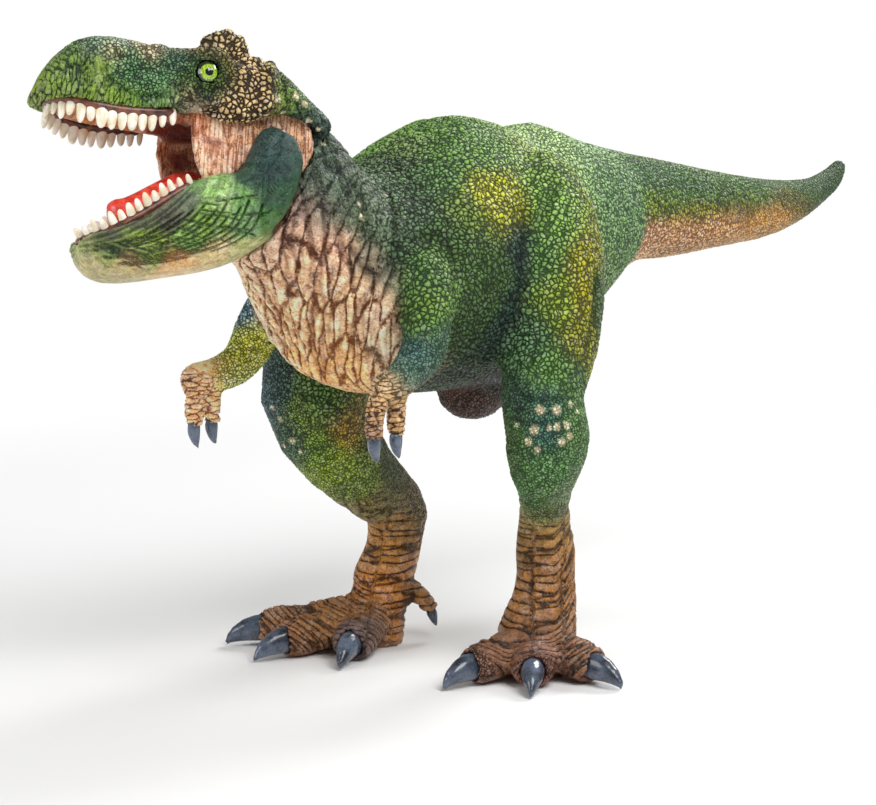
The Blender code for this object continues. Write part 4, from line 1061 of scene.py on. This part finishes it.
# lower jaw
jawForm = {"voxel": 0.6 * mm, "grow": 0.0, "rounds": 4, "depth": 0.2 * mm}
jawSpots = {
    "n": [
        (110, 245, "889c54", "1b300f"), (85, 250, "9ca463", "32411c"), (90, 262, "ab9f6b", "5c4d28"),
        (140, 235, "90a743", "1d300b"), (170, 215, "60604d", "1a1e1a"), (140, 226, "575c4a", "181a16"),
        (110, 236, "555945", "1b1f17"), (185, 200, "5f6852", "192019"), (195, 185, "668550", "1d2919"),
        (215, 190, "8fb367", "2b4019"), (225, 200, "a5c081", "2b4319"), (210, 220, "7fa24d", "203814"),
        (240, 200, "6e9657", "1b381b"), (250, 230, "71955d", "2a4723"), (190, 240, "86ab55", "28401c"),
        (150, 250, "a1b355", "2f4313"), (180, 262, "dab17b", "966535"), (215, 255, "d0ba89", "74643b"),
        (245, 245, "afaf74", "565e32"), (262, 150, "2c433d", "0c1b1f"), (268, 170, "223d36", "0a1a1f"),
        (275, 200, "2b4c32", "0c1f14"), (270, 220, "446c34", "143012"), (252, 175, "2f4c3c", "0d231c"),
        (130, 266, "b3a272", "695332"),
    ],
}
upperEdge = [(207, 174), (200, 194), (182, 211), (157, 226), (130, 238), (102, 244), (78, 243)]
lowerEdge = [(278, 150), (278, 195), (266, 228), (240, 246), (205, 257), (165, 266), (120, 272)]
topLine, lowLine = (curveThrough(edge, 1.5) for edge in (upperEdge, lowerEdge))


def jawPlace(along, down):
    along, down = (min(max(share, 0), 1) for share in (along, down))
    top, low = (line[int(along * (len(line) - 1))] for line in (topLine, lowLine))
    return tuple(top + (low - top) * down)


# fine wrinkles on the bulge of the hinge
bulgeWrinkles = {"corner": (256, 128), "size": (32, 74), "reach": 2.5, "spread": 3.5, "lean": 6, "bend": 0.6}
jawStrokes = [(0.18, -0.9, *shortWrinkles(60, **bulgeWrinkles))]
for i in range(60):
    # short lines along the jaw, in rows that drift a little
    start, row = (i * 0.37) % 0.8, (i * 0.618) % 0.92 + 0.02
    length, drift = 0.14 + 0.16 * abs(math.sin(i * 1.7)), 0.05 * math.sin(i * 2.9)
    corners = [jawPlace(start + length * t, row + drift * t * t) for t in (0, 0.33, 0.66, 1)]
    jawStrokes.append((0.24, -2.0 if start > 0.16 else -0.8, corners))
for i in range(50):
    # short lines across it
    start, row = (i * 0.618) % 0.97 + 0.01, (i * 0.43) % 0.7
    length, drift = 0.2 + 0.22 * abs(math.sin(i * 2.3)), 0.025 * math.sin(i * 1.3)
    corners = [jawPlace(start + drift * t, row + length * t) for t in (0, 0.5, 1)]
    jawStrokes.append((0.22, -1.8 if start > 0.2 else -0.8, corners))
for shift in (0, 6, 11):
    corners = [(190, 178), (170, 198), (148, 214), (122, 228), (92, 238), (74, 240)]
    jawStrokes.append((0.5 - shift * 0.02, -1.2, [(px + shift * 0.5, py + shift) for px, py in corners]))
jaw = voxelSkin(["lower_jaw"], jawForm["voxel"], jawForm["grow"], jawForm["rounds"])
paintBySpots(jaw, jawSpots)
putAttributes(jaw, foldPlace=getPoints(jaw) / mm)
jaw = subdivided(jaw)
points = getPoints(jaw)
groove = strokeMarks(points, nearTree(points), surfaceOf(jaw), jawStrokes, step=1.0, plane=headMiddle)
putAttributes(jaw, groove=groove, restPlace=points)
setPoints(jaw, points + getNormals(jaw) * groove[:, None] * jawForm["depth"])
jaw = throughTree(jaw, relief, skinForm["heights"])
shadeSmooth(jaw)
newPiece("lowerJawSkin", jaw, "jaw", ["lower_jaw"])


# the two arches of teeth: distance ahead of the hinge, to the side and up, in mm
upperArch = [
    (20.7, 9.5, 2.3), (25.8, 9.2, 1.6), (31.3, 8.9, 1.1), (36.8, 8.4, 1.3), (40.5, 6.9, 2.2), (43, 3.9, 2.5),
    (43.9, 0, 2.7),
]
lowerArch = [
    (18.9, 8.5, -1.9), (24.2, 8, -2.7), (29.9, 7.4, -3.8), (35.2, 6.6, -4.6), (38.7, 5.2, -4.9),
    (41.1, 2.9, -4.7), (41.8, 0, -4.6),
]
gape = math.radians(27)
upperSizes = [0.75, 0.85, 0.95, 1.0, 1.15, 1.05, 1.15, 1.2, 1.0, 1.1, 1.0, 1.05, 0.9, 0.8]
lowerSizes = [0.65, 0.72, 0.78, 0.85, 0.82, 0.9, 0.86, 0.9, 0.86, 0.9, 0.82, 0.82, 0.78, 0.7]


def archPlaces(arch, opening, count):
    ahead = Vector(headAhead) * math.cos(opening) - Vector(headUp) * math.sin(opening)
    up = Vector(headUp) * math.cos(opening) + Vector(headAhead) * math.sin(opening)
    line = np.array(curveThrough(arch, 0.3))
    far = np.concatenate([[0], np.cumsum(np.linalg.norm(np.diff(line, axis=0), axis=1))])
    places, outs = [], []
    for step in (np.arange(count) + 0.5) / count * far[-1]:
        a, side, rise = (np.interp(step, far, line[:, k]) for k in range(3))
        a2, side2 = (np.interp(step + 0.3, far, line[:, k]) for k in range(2))
        along = Vector((a2 - a, side2 - side, 0)).normalized()
        places.append(headMiddle[0] + (ahead * a + headMiddle[1] * side + up * rise) * mm)
        outs.append(ahead * -along.y + headMiddle[1] * along.x)
    return places, outs, up


def softCopy(node, voxel):
    mesh = subdivided(voxelSkin([node], voxel, 0.0, 2))
    shadeSmooth(mesh)
    return mesh


tongueFinish = plainFinish("Tongue red", {
    "size": 2 * mm, "colours": ("b8221a", "f45444"), "bump": 0.3, "rough": 0.28, "coat": 0.4,
})
clawFinish = plainFinish("Claw grey", {
    "size": 4 * mm, "colours": ("232a36", "5e6a7e"), "bump": 0.15, "rough": 0.28, "coat": 0.5,
})
# tongue and claws, from their solids: voxel in mm, how much fuller, and how far the top is lifted
softForm = {"tongue": (0.45, 1, 2.0), "foot": (0.7, 1.06, 0), "hand": (0.5, 1, 0)}
softNodes = ["tongue"]
for side in ("left", "right"):
    softNodes += [f"{side}_foot_claw_{number}" for number in range(1, 5)]
    softNodes += [f"{side}_hand_claw_{number}" for number in range(1, 3)]
for node in softNodes:
    voxel, fuller, lift = softForm[node if node == "tongue" else node.split("_")[1]]
    mesh = softCopy(node, voxel * mm)
    softPoints = getPoints(mesh)
    if lift:
        jawUp = np.array(archPlaces(lowerArch, gape, 2)[2])
        rise = (softPoints - np.array(headMiddle[0])) @ jawUp
        share = (rise - rise.min()) / (rise.max() - rise.min())
        setPoints(mesh, softPoints + (share * lift * mm)[:, None] * jawUp)
    elif fuller > 1:
        # so that the claw fills its socket
        heart = (softPoints.min(0) + softPoints.max(0)) / 2
        softPoints = heart + (softPoints - heart) * fuller
        softPoints[:, 2] = np.maximum(softPoints[:, 2], cadCorners[0].z)
        setPoints(mesh, softPoints)
    body, slot, finish = ("jaw", "tongue_red", tongueFinish) if lift else ("figure", "claw_grey", clawFinish)
    mesh.materials.append(finish)
    newPiece(node + "Shape", mesh, body, [node])

# the mouth's lining, kept clear of the jaw over its swing
liningForm = {"voxel": 0.6 * mm, "grain": 0.8, "fold": 0.2 * mm, "clear": 0.35 * mm, "reach": 4 * mm, "step": 5}
liningSpots = {
    "f": [
        (215, 130, "e0b08c", "9c5c40"), (235, 140, "dcae8c", "94583c"), (200, 150, "e8bc9c", "a8684c"),
        (225, 160, "dcae90", "9c6044"), (195, 125, "cc8860", "7c3c24"), (250, 125, "c89c78", "7c4c34"),
    ],
    "n": [
        # the three spots on this line are near black, painted shade at the back of the throat
        (175, 140, "5c2014", "1c0808"), (170, 125, "6c2814", "280c08"), (178, 160, "84402c", "3c140c"),
        (110, 115, "c87c48", "7c3818"), (130, 120, "c07444", "6c3014"), (90, 118, "c88450", "7c3c1c"),
        (60, 112, "c08454", "74401c"),
    ],
}
lining = voxelSkin(["mouth_lining"], liningForm["voxel"], 0.0, 2)
paintBySpots(lining, liningSpots, liningForm["grain"])
points = getPoints(lining)
stripes = alongHead((points - np.array(headMiddle[0])) / mm, foldForm["lining"])
putAttributes(lining, foldPlace=stripes, groove=np.zeros(len(points)), restPlace=points)
heights = dict(zip(skinForm["heights"], (0.0, 0.0, liningForm["fold"])))
lining = throughTree(lining, relief, heights)
hinge = frame["joints"][0]
hingePlace, hingeAxis = Vector(hinge["pos_m"]), Vector(hinge["axis"])
jawSurface, clear = surfaceOf(jaw), liningForm["clear"]
points = getPoints(lining)
for degrees in range(int(hinge["range_deg"][0]), 1, liningForm["step"]):
    swing = Matrix.Rotation(math.radians(degrees), 3, hingeAxis)
    back = swing.transposed()
    for i, point in enumerate(points):
        inJaw = back @ (Vector(point) - hingePlace) + hingePlace
        place, normal, _, far = jawSurface.find_nearest(inJaw, liningForm["reach"])
        if place is None:
            continue
        above = (inJaw - place).dot(normal)
        if above < clear and (far < clear or above < 0):
            points[i] = point + np.array(swing @ normal * (clear - above))
setPoints(lining, points)
shadeSmooth(lining)
newPiece("mouthLining", lining, "figure", ["mouth_lining"])

# teeth, each from one shape along its arch
toothFinish = plainFinish("Tooth ivory", {
    "size": 2 * mm, "colours": ("e6d6b2", "fffaf0"), "bump": 0.2, "rough": 0.35, "coat": 0.2,
})
toothForm = {
    "radius": 0.95 * mm, "length": 3.4 * mm, "depth": 0.8, "sides": 14, "tip": 1,
    "profile": [
        (-0.5, 0.55), (-0.25, 0.9), (0, 1), (0.25, 1.03), (0.5, 0.95), (0.72, 0.8), (0.88, 0.58), (0.97, 0.3),
    ],
    "lean": (0.12, 0.08), "aslant": 0.05, "widths": (0.9, 1.05), "lengths": (0.9, 1.1), "seed": 7,
}


def turnsOf(sides):
    return [2 * math.pi * k / sides for k in range(sides)]


def joinRows(form, rows):
    for low, high in zip(rows, rows[1:]):
        for k in range(len(low)):
            form.faces.new((low[k - 1], low[k], high[k], high[k - 1]))


def toothShape():
    form = bmesh.new()
    rows = [
        [form.verts.new((wide * math.cos(a), toothForm["depth"] * wide * math.sin(a), rise)) for a in turns]
        for turns in [turnsOf(toothForm["sides"])] for rise, wide in toothForm["profile"]
    ]
    tip = form.verts.new((0, 0, toothForm["tip"]))
    form.faces.new(list(reversed(rows[0])))
    joinRows(form, rows)
    for k in range(len(rows[-1])):
        form.faces.new((rows[-1][k - 1], rows[-1][k], tip))
    return meshFrom(form, "tooth")


def rowOfTeethTree(material, shape):
    net, given = newTree("rowOfTeeth", ["Tooth Radius"])
    tooth = net.add("GeometryNodeObjectInfo", {}, {"Object": shape}, "Geometry")
    turned = "FunctionNodeAlignRotationToVector"
    upright = net.add(turned, {"axis": "Z"}, {"Vector": net.named("toothWay")})
    values = {"Rotation": upright, "Vector": net.named("toothOut")}
    facing = net.add(turned, {"axis": "Y", "pivot_axis": "Z"}, values)
    width, length, _ = net.parts(net.named("toothSize"))
    width = width * given["Tooth Radius"]
    size = net.add("ShaderNodeCombineXYZ", {}, {0: width, 1: width, 2: length})
    values = {"Points": given["Geometry"], "Instance": tooth, "Rotation": facing, "Scale": size}
    return endTree(net, net.add("GeometryNodeInstanceOnPoints", {}, values), material)


def toothRow(name, node, arch, sizes, opening, down, body, tree):
    places, outs, up = archPlaces(arch, opening, len(sizes))
    across = headMiddle[1]
    starts, ways, sides, scales, dice = [], [], [], [], np.random.default_rng(toothForm["seed"])
    lean, spread = toothForm["lean"]
    for place, out, size in zip(places, outs, sizes):
        for flip in (False, True):
            outward = out * (lean + spread * dice.standard_normal())
            aslant = across * toothForm["aslant"] * dice.standard_normal()
            way = (up * down + (outward + aslant)).normalized()
            starts.append(mirrored(place, headMiddle) if flip else place)
            ways.append(way - 2 * across * way.dot(across) if flip else way)
            sides.append(out - 2 * across * out.dot(across) if flip else out)
            width = size * dice.uniform(*toothForm["widths"])
            scales.append((width, toothForm["length"] * size * dice.uniform(*toothForm["lengths"]), 0))
    mesh = bpy.data.meshes.new(name)
    mesh.from_pydata(starts, [], [])
    putAttributes(mesh, toothWay=ways, toothOut=sides, toothSize=scales)
    mesh = throughTree(mesh, tree, {"Tooth Radius": toothForm["radius"]})
    shadeSmooth(mesh)
    mesh.materials.clear()
    mesh.materials.append(toothFinish)
    newPiece(name, mesh, body, [node])
    return places, up


toothObject = inScene("toothShape", toothShape())
teethTree = rowOfTeethTree(toothFinish, toothObject)
upperRoots = toothRow("upperTeeth", "upper_teeth", upperArch, upperSizes, 0.0, -1, "figure", teethTree)
lowerRoots = toothRow("lowerTeeth", "lower_teeth", lowerArch, lowerSizes, gape, 1, "jaw", teethTree)
bpy.data.objects.remove(toothObject)

# gums: bars that the teeth stand in, from one rear tooth round the front to the other
gumForm = {"radius": 1.1 * mm, "rise": 0.3 * mm, "flat": 0.9, "ends": 0.5, "sides": 12, "step": 0.8 * mm}
gumFinish = plainFinish("Gum brown", {
    "size": 1.5 * mm, "colours": ("2c1914", "864a32"), "bump": 0.5, "rough": 0.4, "coat": 0.2,
})


def gumBar(name, roots, body, rise):
    near, up = roots
    corners = [list(p) for p in near] + [list(mirrored(p, headMiddle)) for p in reversed(near)]
    line = [Vector(p) for p in curveThrough(corners, gumForm["step"])]
    form = bmesh.new()
    rows = []
    for i, place in enumerate(line):
        along = (line[min(i + 1, len(line) - 1)] - line[max(i - 1, 0)]).normalized()
        side = along.cross(up).normalized()
        radius = gumForm["radius"] * (gumForm["ends"] if i in (0, len(line) - 1) else 1.0)
        ring = [side * math.cos(a) + up * gumForm["flat"] * math.sin(a) for a in turnsOf(gumForm["sides"])]
        rows.append([form.verts.new(place + up * rise + out * radius) for out in ring])
    joinRows(form, rows)
    form.faces.new(rows[0])
    form.faces.new(list(reversed(rows[-1])))
    bmesh.ops.recalc_face_normals(form, faces=form.faces)
    mesh = meshFrom(form, name)
    shadeSmooth(mesh)
    mesh.materials.append(gumFinish)
    newPiece(name, mesh, body, [])


gumBar("upperGum", upperRoots, "figure", gumForm["rise"])
gumBar("lowerGum", lowerRoots, "jaw", -gumForm["rise"])

# eyes: angles from the gaze, in radians, where the pupil ends and the dark rim starts
eyeForm = {"voxel": 0.25 * mm, "ahead": 0.15, "pupil": (0.28, 0.34), "rim": (0.6, 0.76), "streak": 0.25 * mm}
eyePaint = {"pupil": "030303", "iris": ("587c10", "b8dc3c"), "rim": "10180a"}


def eyeFinish(name, centre, look):
    material, net = newMaterial(name)
    place = net.ownPlace()
    outward = net.vector("NORMALIZE", {0: net.vector("SUBTRACT", {0: place, 1: centre})})
    away = net.vector("DOT_PRODUCT", {0: outward, 1: look}, "Value").maths("ARCCOSINE")
    streaks = net.noise(place, eyeForm["streak"], 2.0)
    iris = net.mixed(streaks.between(0.35, 0.65), *(opaque(code) for code in eyePaint["iris"]))
    inner = net.mixed(away.between(*eyeForm["rim"]), iris, opaque(eyePaint["rim"]))
    colour = net.mixed(away.between(*eyeForm["pupil"]), opaque(eyePaint["pupil"]), inner)
    surfaceShader(net, {"Base Color": colour, "Roughness": 0.12, "Coat Weight": 1.0, "Coat Roughness": 0.04})
    return material


for side, turn in (("left", 1), ("right", -1)):
    low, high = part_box(side + "_eye")
    mesh = softCopy(side + "_eye", eyeForm["voxel"])
    gaze = (headMiddle[1] * turn + Vector(headAhead) * eyeForm["ahead"]).normalized()
    mesh.materials.append(eyeFinish(side.title() + " eye", (low + high) / 2, gaze))
    newPiece(side + "Eye", mesh, "figure", [side + "_eye"])

# the pin keeps its CAD shape
pin = frame["nodes"]["jaw_pin"]
pin.data.materials.clear()
pin.data.materials.append(plainFinish("Pin steel", {
    "size": 2 * mm, "colours": ("8c8f94", "c4c6ca"), "bump": 0.1, "rough": 0.3, "metal": 1.0,
}))

# floor, light and camera
floorForm = {"wide": 3.0, "below": 0.02 * mm, "white": (0.16, 0.34)}
corners = [(x * floorForm["wide"], y * floorForm["wide"], 0) for x, y in ((-1, -1), (1, -1), (1, 1), (-1, 1))]
floorMesh = bpy.data.meshes.new("floor")
floorMesh.from_pydata(corners, [], [(0, 1, 2, 3)])
floor = inScene("floor", floorMesh)
floor.location.z = cadCorners[0].z - floorForm["below"]
floorFinish, net = newMaterial("Pale floor")
away = net.vector("LENGTH", {0: net.ownPlace()}, "Value")
values = {"Base Color": (0.92, 0.92, 0.92, 1), "Roughness": 0.75, "Specular IOR Level": 0.2}
lit = net.add("ShaderNodeBsdfPrincipled", {}, values)
white = net.add("ShaderNodeEmission", {}, {"Color": (1, 1, 1, 1), "Strength": 1.0})
floorMix = net.add("ShaderNodeMixShader", {}, {0: away.between(*floorForm["white"]), 1: lit, 2: white})
net.add("ShaderNodeOutputMaterial", {}, {"Surface": floorMix})
floorMesh.materials.append(floorFinish)

world = bpy.data.worlds.new("Studio")
bpy.context.scene.world = world
world.use_nodes = True
world.node_tree.nodes.clear()
net = Net(world.node_tree)
seen = net.add("ShaderNodeLightPath", {}, {}, "Is Camera Ray")
soft, plain = (
    net.add("ShaderNodeBackground", {}, {"Color": (1, 1, 1, 1), "Strength": strength})
    for strength in (0.24, 1.0)
)
shown = net.add("ShaderNodeMixShader", {}, {0: seen, 1: soft, 2: plain})
net.add("ShaderNodeOutputWorld", {}, {"Surface": shown})

# lamps round the figure: up, right and back towards the camera in m, size in m, power in W
lamps = {
    "Key": ((0.5, 0.25, 0.45), 0.5, 4.4), "Back": ((0.5, 0.35, -0.35), 0.3, 2.9),
    "Side": ((0.25, -0.6, 0.3), 0.4, 1.5),
}
middle = Vector(photoView["aim"])
for name, ((up, right, back), size, power) in lamps.items():
    light = bpy.data.lights.new(name, "AREA")
    light.shape = "DISK"
    light.size = size
    light.energy = power
    lamp = inScene(name, light)
    lamp.location = middle + upward * up + rightward * right + backward * back
    lamp.rotation_mode = "QUATERNION"
    lamp.rotation_quaternion = (middle - lamp.location).to_track_quat("-Z", "Y")

camera = inScene("Camera", bpy.data.cameras.new("Camera"))
camera.data.lens = photoView["lens"]
camera.data.sensor_width = photoView["sensor"]
camera.data.clip_start = 0.01
camera.location = cameraPlace
camera.rotation_mode = "QUATERNION"
camera.rotation_quaternion = (-backward).to_track_quat("-Z", "Y")
bpy.context.scene.camera = camera
bpy.context.scene.view_settings.view_transform = "Standard"
